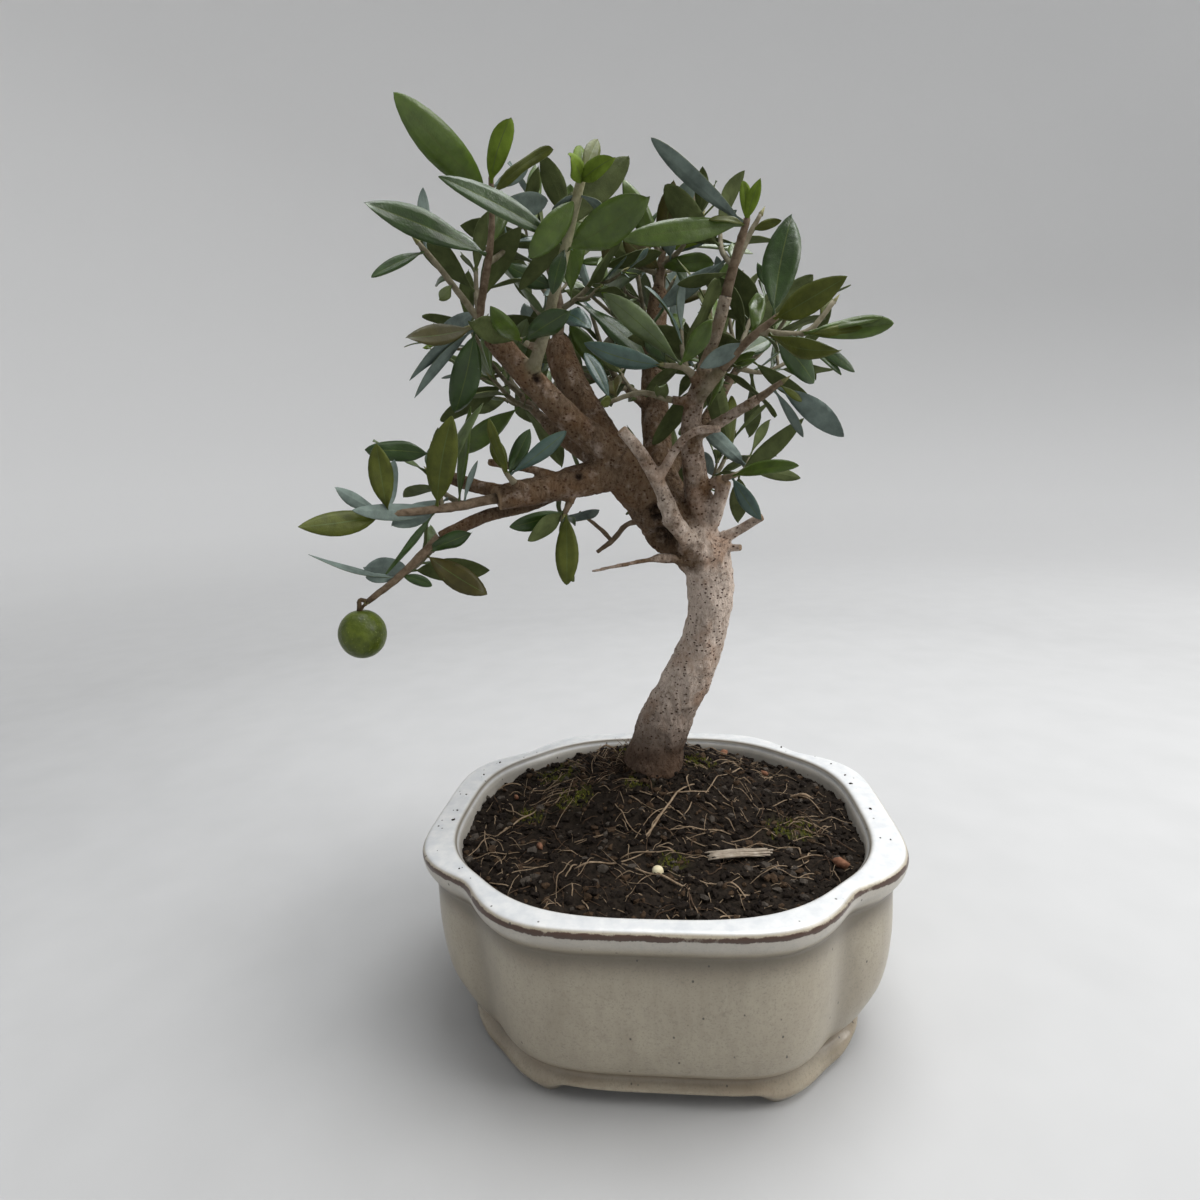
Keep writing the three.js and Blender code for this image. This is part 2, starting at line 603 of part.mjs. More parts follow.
function soilSolid() {
  const wallAt = (z) => {
    const taper = (POT.innerTaper * (BRIM - z)) / (BRIM - POT.floor);
    return lobedRing(inset(MOUTH, taper + GAP, z), POT.mouthPower);
  };
  const edge = wallAt(SOIL.edge);
  const crown = new THREE.Vector3(SOIL.crownX, SOIL.crownY, SOIL.crown);
  const rings = [wallAt(POT.floor + GAP), edge];
  for (let k = 1; k <= SOIL.rings; k++) {
    const share = k / SOIL.rings;
    rings.push(
      edge.map((p) => {
        const towards = new THREE.Vector3(p.x - crown.x, p.y - crown.y, 0).setLength(SOIL.crownR);
        const q = p.clone().lerp(crown.clone().add(towards), share);
        q.z = share === 1 ? SOIL.crown : soilHeight(q.x, q.y);
        return q;
      }),
    );
  }
  return solidOf(loft(rings));
}

// ---------------------------------------------------------------- limbs
// A tapering tube along a curve, closed at both ends, with every radius grown by `extra`.
function tube(curve, radii, sides, steps, extra = 0) {
  const frames = curve.computeFrenetFrames(steps, false);
  const rings = [];
  for (let s = 0; s <= steps; s++) {
    const t = s / steps;
    const centre = curve.getPoint(t);
    const tangent = curve.getTangent(t);
    if (extra && (s === 0 || s === steps)) centre.addScaledVector(tangent, s === 0 ? -extra : extra);
    const radius = spread(radii, t) + extra;
    rings.push(
      Array.from({ length: sides }, (_, i) => {
        const a = (i / sides) * 2 * Math.PI;
        return centre
          .clone()
          .addScaledVector(frames.normals[s], Math.cos(a) * radius)
          .addScaledVector(frames.binormals[s], Math.sin(a) * radius);
      }),
    );
  }
  return solidOf(loft(rings));
}

const limbs = {};
for (const [name, { parent, share, legs, radii, sides }] of Object.entries(LIMBS)) {
  const start = parent ? limbs[parent].curve.getPoint(share) : new THREE.Vector3(...TRUNK_FOOT);
  const curve = pathOf(start, legs);
  const steps = legs.length * (radii[0] > LIMB_ROUND ? 2 : 1);
  let solid = tube(curve, radii, sides, steps);
  for (const earlier of Object.values(limbs)) solid = solid.subtract(earlier.skin);
  const skin = tube(curve, radii, sides, steps, GAP);
  limbs[name] = { curve, radii, steps, skin, solid: largest(solid) };
}
limbs.trunk.solid = limbs.trunk.solid.trimByPlane([0, 0, 1], TRUNK_FOOT[2]);

// ---------------------------------------------------------------- foliage
const fraction = (x) => x - Math.floor(x);
// A repeatable number from 0 to 1, and one from -1 to 1.
const chance = (seed, n) => fraction(Math.sin(seed * 12.9898 + n * 78.233) * 43758.5453);
const sway = (seed, n) => 2 * chance(seed, n) - 1;

// The directions along a curve, to its left and above it.
function frameOf(curve, share) {
  const dir = curve.getTangent(share);
  const heading = Math.atan2(dir.y, dir.x);
  const side = new THREE.Vector3(-Math.sin(heading), Math.cos(heading), 0);
  return { dir, side, lift: dir.clone().cross(side) };
}

// The direction that opens by an angle from a curve, at a turn round it. Angles are in degrees.
function opened({ dir, side, lift }, turn, open) {
  const [t, o] = [radians(turn), radians(open)];
  return dir.clone().multiplyScalar(Math.cos(o))
    .addScaledVector(side, Math.sin(o) * Math.cos(t))
    .addScaledVector(lift, Math.sin(o) * Math.sin(t));
}

// A leaf's root and the axes of its blade. Roll 0 turns the upper side to the tip of the shoot.
function leafAt(curve, [wanted, turn, open, length, width, roll], outline) {
  const share = Math.min(wanted, 1 - LEAF.fromTip / curve.getLength());
  const frame = frameOf(curve, share);
  const along = opened(frame, turn, open);
  const level = frame.dir.clone().addScaledVector(along, -frame.dir.dot(along)).normalize();
  const across = along.clone().cross(level);
  const up = level.multiplyScalar(Math.cos(radians(roll)));
  up.addScaledVector(across, Math.sin(radians(roll)));
  const root = curve.getPoint(share);
  return { root, along, up, across: along.clone().cross(up), length, width, outline };
}

// A place on the blade, by shares of its length and width.
const onBlade = ({ root, along, across, length, width }, l, w) =>
  root.clone().addScaledVector(along, l * length).addScaledVector(across, w * width);

// A flat blade with a point sunk in the twig, thickest near the stalk.
function bladeSolid(leaf) {
  const root = leaf.root.clone().addScaledVector(leaf.along, -LEAF.sunk);
  const faces = [LEAF.thick / 2, -LEAF.thick / 2].map((height) =>
    onBlade(leaf, LEAF.thickAt, 0).addScaledVector(leaf.up, height),
  );
  const rim = [root, ...OUTLINES[leaf.outline].map(([l, w]) => onBlade(leaf, l, w))];
  const index = [];
  for (let i = 0; i < rim.length; i++) {
    const [a, b] = [2 + i, 2 + ((i + 1) % rim.length)];
    index.push(0, a, b, 1, b, a);
  }
  const geometry = new THREE.BufferGeometry().setFromPoints([...faces, ...rim]);
  geometry.setIndex(index);
  return solidOf(geometry);
}

// The shortest distance between two segments.
function apart([p, q], [a, b]) {
  const d1 = q.clone().sub(p);
  const d2 = b.clone().sub(a);
  const r = p.clone().sub(a);
  const [e1, e2, f, c, m] = [d1.dot(d1), d2.dot(d2), d2.dot(r), d1.dot(r), d1.dot(d2)];
  const bulk = e1 * e2 - m * m;
  const clamp = (x) => Math.min(Math.max(x, 0), 1);
  let s = bulk > 1e-9 ? clamp((m * f - c * e2) / bulk) : 0;
  const t = clamp((m * s + f) / e2);
  s = clamp((m * t - c) / e1);
  return p.clone().addScaledVector(d1, s).distanceTo(a.clone().addScaledVector(d2, t));
}

// Segments that stand for a limb or twig, with their radii.
function bonesOf(curve, radii, steps) {
  return Array.from({ length: steps }, (_, i) => ({
    line: [curve.getPoint(i / steps), curve.getPoint((i + 1) / steps)],
    radius: Math.max(spread(radii, i / steps), spread(radii, (i + 1) / steps)),
  }));
}

const linesOf = (leaf) => LEAF_LINES.map((ends) => ends.map(([l, w]) => onBlade(leaf, l, w)));

const limbBones = Object.values(limbs).flatMap(({ curve, radii, steps }) => bonesOf(curve, radii, steps));
const grown = []; // the masses so far

const near = (a, b) => a.root.distanceTo(b.root) < a.length + b.length + CLEAR.leaf;

// Whether a leaf keeps clear of the limbs, of other masses and of the leaves of its own.
function leafIsClear(leaf, mass) {
  const lines = linesOf(leaf);
  const clearOf = (others, distance) =>
    others.every((other) => lines.every((line) => apart(line, other) >= distance));
  for (const { line, radius } of limbBones)
    if (!clearOf([line], Math.max(radius + CLEAR.limb, CLEAR.leaf))) return false;
  for (const { twigs, leaves } of grown) {
    if (!twigs.every((twig) => clearOf([twig.line], CLEAR.leaf))) return false;
    if (!leaves.every((other) => !near(leaf, other) || clearOf(other.lines, CLEAR.leaf))) return false;
  }
  return mass.leaves.every((other) => {
    const paired = other.root.distanceTo(leaf.root) < 2 * CLEAR.ownLeaf;
    return paired || !near(leaf, other) || clearOf(other.lines, CLEAR.ownLeaf);
  });
}

// Whether a side shoot keeps clear of the limbs and of other masses beyond its own foot.
function shootIsClear(curve, radius) {
  const [low, middle, tip] = [0.4, 0.7, 1].map((share) => curve.getPoint(share));
  const lines = [[low, middle], [middle, tip]];
  const clearOf = (other, distance) => lines.every((line) => apart(line, other) >= distance);
  return (
    limbBones.every((bone) => clearOf(bone.line, bone.radius + radius + CLEAR.limb)) &&
    grown.every(
      (mass) =>
        mass.twigs.every((twig) => clearOf(twig.line, CLEAR.twig)) &&
        mass.leaves.every((l) => l.lines.every((line) => clearOf(line, CLEAR.twig))),
    )
  );
}

// Puts one leaf on a shoot, at the first of a few places where it fits, or leaves it out.
function placeLeaf(mass, shoot, [share, turn, open, length, width, roll], seed) {
  for (let k = 0; k < LEAF.tries; k++) {
    const row = [
      share,
      turn + k * NUDGE.turn * sway(seed, 4 * k),
      open + k * NUDGE.open * sway(seed, 4 * k + 1),
      length * (1 - k * NUDGE.length),
      width * (1 - k * NUDGE.width),
      roll + k * NUDGE.roll * sway(seed, 4 * k + 2),
    ];
    const leaf = leafAt(shoot.curve, row, shoot.outline);
    const tip = onBlade(leaf, 1, 0);
    if (tip.z > CROWN_TOP || tip.distanceTo(mass.anchor) > mass.reach) continue;
    if (!leafIsClear(leaf, mass)) continue;
    leaf.lines = linesOf(leaf);
    mass.leaves.push(leaf);
    return;
  }
}

// Crosswise pairs of leaves up a shoot, smaller and closer to it towards its tip.
function pairRows({ pairs, leaf }, shootLength, seed) {
  const rows = [];
  const first = 360 * chance(seed, 1);
  for (let i = 0; i < pairs; i++)
    for (const half of [0, 1]) {
      const n = 10 + 2 * i + half;
      const up = i / (pairs - 1);
      const share = PAIR.from + (1 - PAIR.from) * up - (half * LEAF.stagger) / shootLength;
      const turn = first + 90 * i + 180 * half + PAIR.turnSway * sway(seed, n + 20);
      const open = PAIR.open - PAIR.closing * up + PAIR.openSway * sway(seed, n + 40);
      const length = leaf * (1 - PAIR.shrink * up) * (1 + PAIR.lengthSway * sway(seed, n));
      const width = length * LEAF.slimness * (1 + PAIR.widthSway * sway(seed, n + 60));
      rows.push([share, turn, open, length, width, PAIR.rollSway * sway(seed, n + 80)]);
    }
  return rows;
}

// Side shoots that fan out round the stem and bend upwards.
function sprayShoots(mass, stem, spec, seed) {
  for (let k = 0; k < spec.count; k++) {
    const up = k / (spec.count - 1);
    const share = SPRAY.from + (1 - SPRAY.from) * up;
    const frame = frameOf(stem.curve, share);
    const start = stem.curve.getPoint(share);
    for (let attempt = 0; attempt < LEAF.tries; attempt++) {
      const own = seed + 100 * (k + 1) + attempt;
      const turn = SPRAY.around * k + SPRAY.turnSway * sway(own, 1);
      const open = spec.open * (1 - SPRAY.closing * up) + SPRAY.openSway * sway(own, 2);
      const length = spec.length * (1 + SPRAY.lengthSway * sway(own, 3));
      const aim = opened(frame, turn, open);
      const bend = start.clone().addScaledVector(aim, SPRAY.bendAt * length);
      aim.z += SPRAY.lift;
      const tip = bend.clone().addScaledVector(aim.normalize(), (1 - SPRAY.bendAt) * length);
      const curve = new THREE.CatmullRomCurve3([start, bend, tip], false, 'catmullrom', 0.5);
      if (tip.distanceTo(mass.anchor) > mass.reach || !shootIsClear(curve, SPRAY.radii[1])) continue;
      const rows = pairRows(spec, length, own);
      mass.shoots.push({ curve, radii: SPRAY.radii, steps: 2, rows, seed: own, outline: 'plain' });
      break;
    }
  }
}

// One node of foliage: its shoots, leaves and fruit fused into one solid, clear of every limb.
function growMass({ limb, seed, reach, shoots, sprays, fruit }) {
  const mass = { reach, anchor: limbs[limb].curve.getPoint(1), shoots: [], leaves: [], twigs: [] };
  shoots.forEach(({ on, share, legs, radius, leaves = [], pairs, leaf }, i) => {
    const start = i === 0 ? mass.anchor : mass.shoots[on].curve.getPoint(share);
    const radii = TWIG_TAPER.map((taper) => taper * radius);
    const [curve, steps, own] = [pathOf(start, legs), legs.length, seed + i];
    if (pairs && !shootIsClear(curve, radius)) return;
    const rows = pairs ? pairRows({ pairs, leaf }, legLength(legs), own) : leaves;
    mass.shoots.push({ curve, radii, steps, rows, seed: own, outline: pairs ? 'plain' : 'full' });
  });
  if (sprays) sprayShoots(mass, mass.shoots[0], sprays, seed);
  mass.twigs = mass.shoots.flatMap(({ curve, radii, steps }) => bonesOf(curve, radii, steps));
  for (const shoot of mass.shoots)
    shoot.rows.forEach((row, i) => placeLeaf(mass, shoot, row, shoot.seed + 0.37 * (i + 1)));
  grown.push(mass);
  const solids = mass.shoots.map(({ curve, radii, steps }) =>
    tube(curve, radii.map((radius) => radius * TWIG_SWELL), TWIG_SIDES, steps),
  );
  solids.push(...mass.leaves.map(bladeSolid));
  if (fruit) solids.push(...fruitSolids(mass.shoots[0].curve.getPoint(1), fruit));
  let solid = union(solids);
  for (const { skin } of Object.values(limbs)) solid = solid.subtract(skin);
  return largest(solid);
}

// A fruit that hangs from a twig's tip on a short stalk, its middle one leg away.
function fruitSolids(tip, leg) {
  const middle = pathOf(tip, [leg]).getPoint(1);
  const ball = new THREE.SphereGeometry(FRUIT.width / 2, FRUIT.around, FRUIT.along);
  ball.rotateX(Math.PI / 2).scale(1, 1, FRUIT.height / FRUIT.width).translate(...middle);
  const stalk = new THREE.CatmullRomCurve3([tip, tip.clone().lerp(middle, 0.5)]);
  return [solidOf(ball), tube(stalk, [FRUIT.stalk, FRUIT.stalk], 5, 1)];
}

// ---------------------------------------------------------------- assembly
const MATERIALS = {
  glaze: new THREE.MeshStandardMaterial({ color: 0xb9b3a2, roughness: 0.35, metalness: 0 }),
  soil: new THREE.MeshStandardMaterial({ color: 0x2b211c, roughness: 1, metalness: 0 }),
  bark: new THREE.MeshStandardMaterial({ color: 0x7a6555, roughness: 0.9, metalness: 0 }),
  foliage: new THREE.MeshStandardMaterial({ color: 0x3e4f2e, roughness: 0.6, metalness: 0 }),
};

const plant = new THREE.Group();
function add(name, solid, material) {
  const mesh = new THREE.Mesh(geometryOf(solid), material);
  mesh.name = name;
  plant.add(mesh);
}

add('pot', potSolid(), MATERIALS.glaze);
add('soil', soilSolid(), MATERIALS.soil);
for (const [name, limb] of Object.entries(limbs)) add(name, limb.solid, MATERIALS.bark);
for (const [name, spec] of Object.entries(MASSES)) add(name, growMass(spec), MATERIALS.foliage);

const box = new THREE.Box3().setFromObject(plant);
plant.position.set(-(box.min.x + box.max.x) / 2, -(box.min.y + box.max.y) / 2, 0);

export default plant;
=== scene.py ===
"""A potted olive bonsai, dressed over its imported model.

Sizes are in millimetres about the middle of the pot's foot, as in the part's own source, and become metres
in the row frame when a piece is made. The crown grows by the rule of the source, and then to finer twigs.
"""
import math
from types import SimpleNamespace

import bmesh
import bpy
import numpy as np
from mathutils import Matrix, Vector, noise


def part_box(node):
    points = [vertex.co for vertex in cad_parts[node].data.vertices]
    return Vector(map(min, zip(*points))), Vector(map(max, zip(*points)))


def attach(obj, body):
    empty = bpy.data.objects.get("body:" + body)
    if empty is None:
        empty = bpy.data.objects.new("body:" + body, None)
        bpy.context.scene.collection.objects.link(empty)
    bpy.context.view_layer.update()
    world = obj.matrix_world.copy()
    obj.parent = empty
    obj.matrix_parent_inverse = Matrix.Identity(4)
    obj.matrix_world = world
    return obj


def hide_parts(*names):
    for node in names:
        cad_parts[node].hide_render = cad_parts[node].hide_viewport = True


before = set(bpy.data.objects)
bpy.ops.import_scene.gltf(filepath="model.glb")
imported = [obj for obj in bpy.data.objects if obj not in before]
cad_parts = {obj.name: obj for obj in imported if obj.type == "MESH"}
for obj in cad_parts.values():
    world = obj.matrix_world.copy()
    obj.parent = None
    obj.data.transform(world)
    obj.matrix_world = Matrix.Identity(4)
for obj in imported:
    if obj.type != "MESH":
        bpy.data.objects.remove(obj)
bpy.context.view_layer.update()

MM = 0.001
CAMERA_AT = np.array([9.0, -250.0, 208.0])
POT_LOW, POT_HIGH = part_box("pot")
ORIGIN = np.array([(POT_LOW.x + POT_HIGH.x) / 2, (POT_LOW.y + POT_HIGH.y) / 2, 0.0])

# ---------------------------------------------------------------- the part's own sizes
LEVEL_KEYS = ("z", "x", "y", "notchX", "notchY")
POT = {  # height, half sizes of the plan across X and Y, and the place of the notch between two lobes
    "rim": (74, 90, 77, 64.5, 53),
    "neck": (62, 85.5, 72.5, 61.5, 50.5),
    "wall": (42, 85.5, 72, 61, 50.5),
    "belly": (26, 83, 70.5, 60, 50.5),
    "turn": (17, 77.5, 68.5, 58.5, 50),
    "waist": (10, 72.5, 65.6, 55.5, 49.5),
    "band": (6, 74, 67, 57, 51),
    "foot": (3, 73.5, 66.5, 56.5, 50.5),
    "mouth": (74, 78.5, 69, 60, 49),
}
POT = {name: dict(zip(LEVEL_KEYS, level)) for name, level in POT.items()}
LOBE_POWER, MOUTH_POWER = 5, 3.3  # how square the lobes are, outside and at the mouth
POT_FLOOR = 11  # height of the inner floor
POT_INSIDE, SOIL_UNDER = 56, 58.0  # where the inner wall and the soil are closed off, out of sight
INNER_TAPER = 11  # how far the inner wall draws in on its way down to it
FOOT_WALL = 9  # from the foot ring's edge to the hollow behind the feet
SOIL = {
    "edge": 67.5,  # height where the soil meets the pot
    "crown": 78,  # flat top that the trunk stands on
    "crownX": -1, "crownY": 28, "crownR": 17, "slopeR": 58,
    "lump": 1.2,  # how far its clods stand above and below the slope
    "lumpPitch": 21,  # from one to the next
}
TRUNK_FOOT = [-2, 28, SOIL["crown"]]
# Each limb: its parent, the share along it where the limb starts, its legs as [heading, rise, length], its radii.
LIMBS = {
    "trunk": (
        "", 0,
        [
            [5, 80, 11], [350, 70, 15], [350, 62, 16], [350, 65, 15], [345, 73, 14], [325, 82, 13], [235, 85, 13],
            [185, 82, 9],
        ],
        [14.2, 11.2, 11.3, 10.1, 9.8, 9.2, 9.1, 9.6, 10.5],
    ),
    "bough_main_left": ("trunk", 0.9, [[188, 45, 25], [211, 52, 16], [206, 47, 16]], [10.5, 10, 9.6, 9.4]),
    "bough_upper_left": (
        "bough_main_left", 0.97, [[210, 40, 16], [212, 41, 15], [210, 46, 17], [214, 48, 16]],
        [6.6, 5.6, 5, 4.6, 4.2],
    ),
    "bough_upper_middle": (
        "bough_main_left", 0.93, [[165, 58, 20], [155, 61, 20], [139, 67, 15]], [7.4, 6.2, 5.8, 5],
    ),
    "bough_cut_left": ("bough_main_left", 0.88, [[204, -12, 22], [206, -9, 14], [204, -7, 15]], [7.6, 6, 5.2, 4.5]),
    "stub_dead": ("bough_cut_left", 0.3, [[205, 18, 16], [204, 12, 18]], [1.8, 1.6, 1.5]),
    "bough_leader": (
        "trunk", 0.97, [[143, 54, 33], [112, 68, 23], [95, 73, 27], [73, 74, 22], [65, 78, 14]],
        [7.4, 6.4, 6, 5.6, 4.6, 3.6],
    ),
    "bough_right": ("trunk", 0.97, [[243, 74, 32], [252, 74, 16], [296, 70, 13]], [6.4, 4.6, 3.9, 3.4]),
    "shoot_right": ("bough_right", 1, [[321, 64, 18], [319, 68, 16]], [3, 2.5, 2.2]),
    "stem_front": (
        "trunk", 0.94, [[234, 30, 20], [215, 62, 22], [213, 57, 13], [197, 51, 11]], [3.8, 3.2, 2.8, 2.5, 2.2],
    ),
    "stub_fork": ("stem_front", 0.5, [[333, 55, 15], [328, 32, 9], [347, 2, 9]], [2, 1.8, 1.6, 1.5]),
    "stub_top": ("trunk", 1, [[300, 55, 13], [313, 67, 15]], [3.6, 3, 2.7]),
    "stub_side": ("trunk", 0.97, [[344, 26, 14], [342, 30, 12]], [3.4, 2.3, 1.8]),
    "stub_small": ("trunk", 0.96, [[338, 2, 15]], [2, 1.5]),
    "twig_bare": (
        "trunk", 0.85, [[219, 18, 17], [212, 8, 11], [212, -3, 15], [211, -5, 12]], [1.9, 1.2, 1, 0.9, 0.7],
    ),
    "bough_fruit": (
        "bough_cut_left", 0.28, [[150, -20, 10], [195, -20, 14], [205, -12, 18], [209, -20, 18]],
        [4, 3.2, 2.8, 2.5, 2.3],
    ),
    "stub_cut_left": ("bough_cut_left", 0.8, [[165, 10, 18], [162, 18, 18]], [3, 2.6, 2.4]),
    "shoot_front": ("bough_upper_left", 0.7, [[306, 41, 18], [309, 52, 21]], [3, 2, 1.7]),
    "bough_back_left": ("bough_main_left", 0.75, [[140, 22, 22], [150, 30, 18], [148, 38, 14]], [4.6, 3.8, 3.2, 2.8]),
    "bough_back_right": ("bough_leader", 0.22, [[48, 38, 20], [40, 44, 18], [46, 48, 14]], [4.2, 3.4, 3, 2.6]),
    "bough_back_high": ("bough_leader", 0.6, [[100, 36, 18], [96, 46, 14]], [3.4, 2.8, 2.4]),
    "bough_right_low": ("bough_right", 0.58, [[329, 23, 17], [328, 24, 13]], [2.4, 2, 1.8]),
    "shoot_side": ("bough_right", 0.92, [[317, 38, 17]], [2.6, 2.2]),
    "spur_under": ("bough_cut_left", 0.3, [[235, -62, 9]], [2, 1.8]),
    "spur_top": ("bough_cut_left", 0.72, [[250, 20, 11]], [2, 1.8]),
    "bough_back_low": ("trunk", 0.96, [[80, 34, 24], [92, 26, 16]], [3.8, 3, 2.5]),
    "spur_inner": ("bough_right", 0.8, [[60, 42, 15]], [2.4, 2]),
    "spur_front": ("shoot_right", 0.08, [[255, 20, 10]], [2, 1.7]),
    "spur_left": ("bough_right", 0.93, [[200, 5, 9]], [2, 1.7]),
    "spur_shoot": ("shoot_front", 0.36, [[225, 15, 5]], [1.6, 1.4]),
    "spur_low": ("bough_right", 0.24, [[330, 20, 12]], [2.2, 1.9]),
    "spur_middle": ("bough_leader", 0.46, [[215, 35, 14]], [2.4, 2]),
}
LEAF = {
    "fromTip": 1.6,  # the least distance from its root to the end of its twig
    "stagger": 1.2,  # between the two leaves of a pair, along their twig
    "slimness": 0.29,  # width over length
    "tries": 7,  # how many places are tried before a leaf or a side shoot is left out
}
NUDGE = {"turn": 9, "open": 7, "roll": 12, "length": 0.04, "width": 0.03}
CLEAR = {
    "leaf": 3.4,  # least distance between the lines that stand for two leaves of different masses
    "ownLeaf": 2.2,  # and of one mass
    "limb": 1.3,  # from a leaf to the skin of a limb
    "twig": 2.6,  # from a twig of one mass to anything of another
}
LEAF_LINES = [[[0.1, 0], [1, 0]], [[0.3, 0.48], [0.7, 0.42]], [[0.3, -0.48], [0.7, -0.42]]]
PAIR = {
    "from": 0.3, "open": 66, "closing": 30, "shrink": 0.3,  # degrees, degrees, share of the length
    "lengthSway": 0.14, "widthSway": 0.25, "turnSway": 16, "openSway": 10, "rollSway": 75,
}
SPRAY = {
    "from": 0.35, "around": 137.5, "closing": 0.55, "bendAt": 0.45, "lift": 0.45,
    "lengthSway": 0.2, "turnSway": 50, "openSway": 12, "radii": [1.3, 1, 0.8],
}
TWIG_TAPER = [1, 0.8, 0.6]
FRUIT = {"width": 17, "height": 18, "leg": [215, -75, 12]}
CROWN_TOP = 328  # no leaf or twig reaches higher
LIMB_ROUND = 3.9  # a limb thicker than this is laid out in finer steps
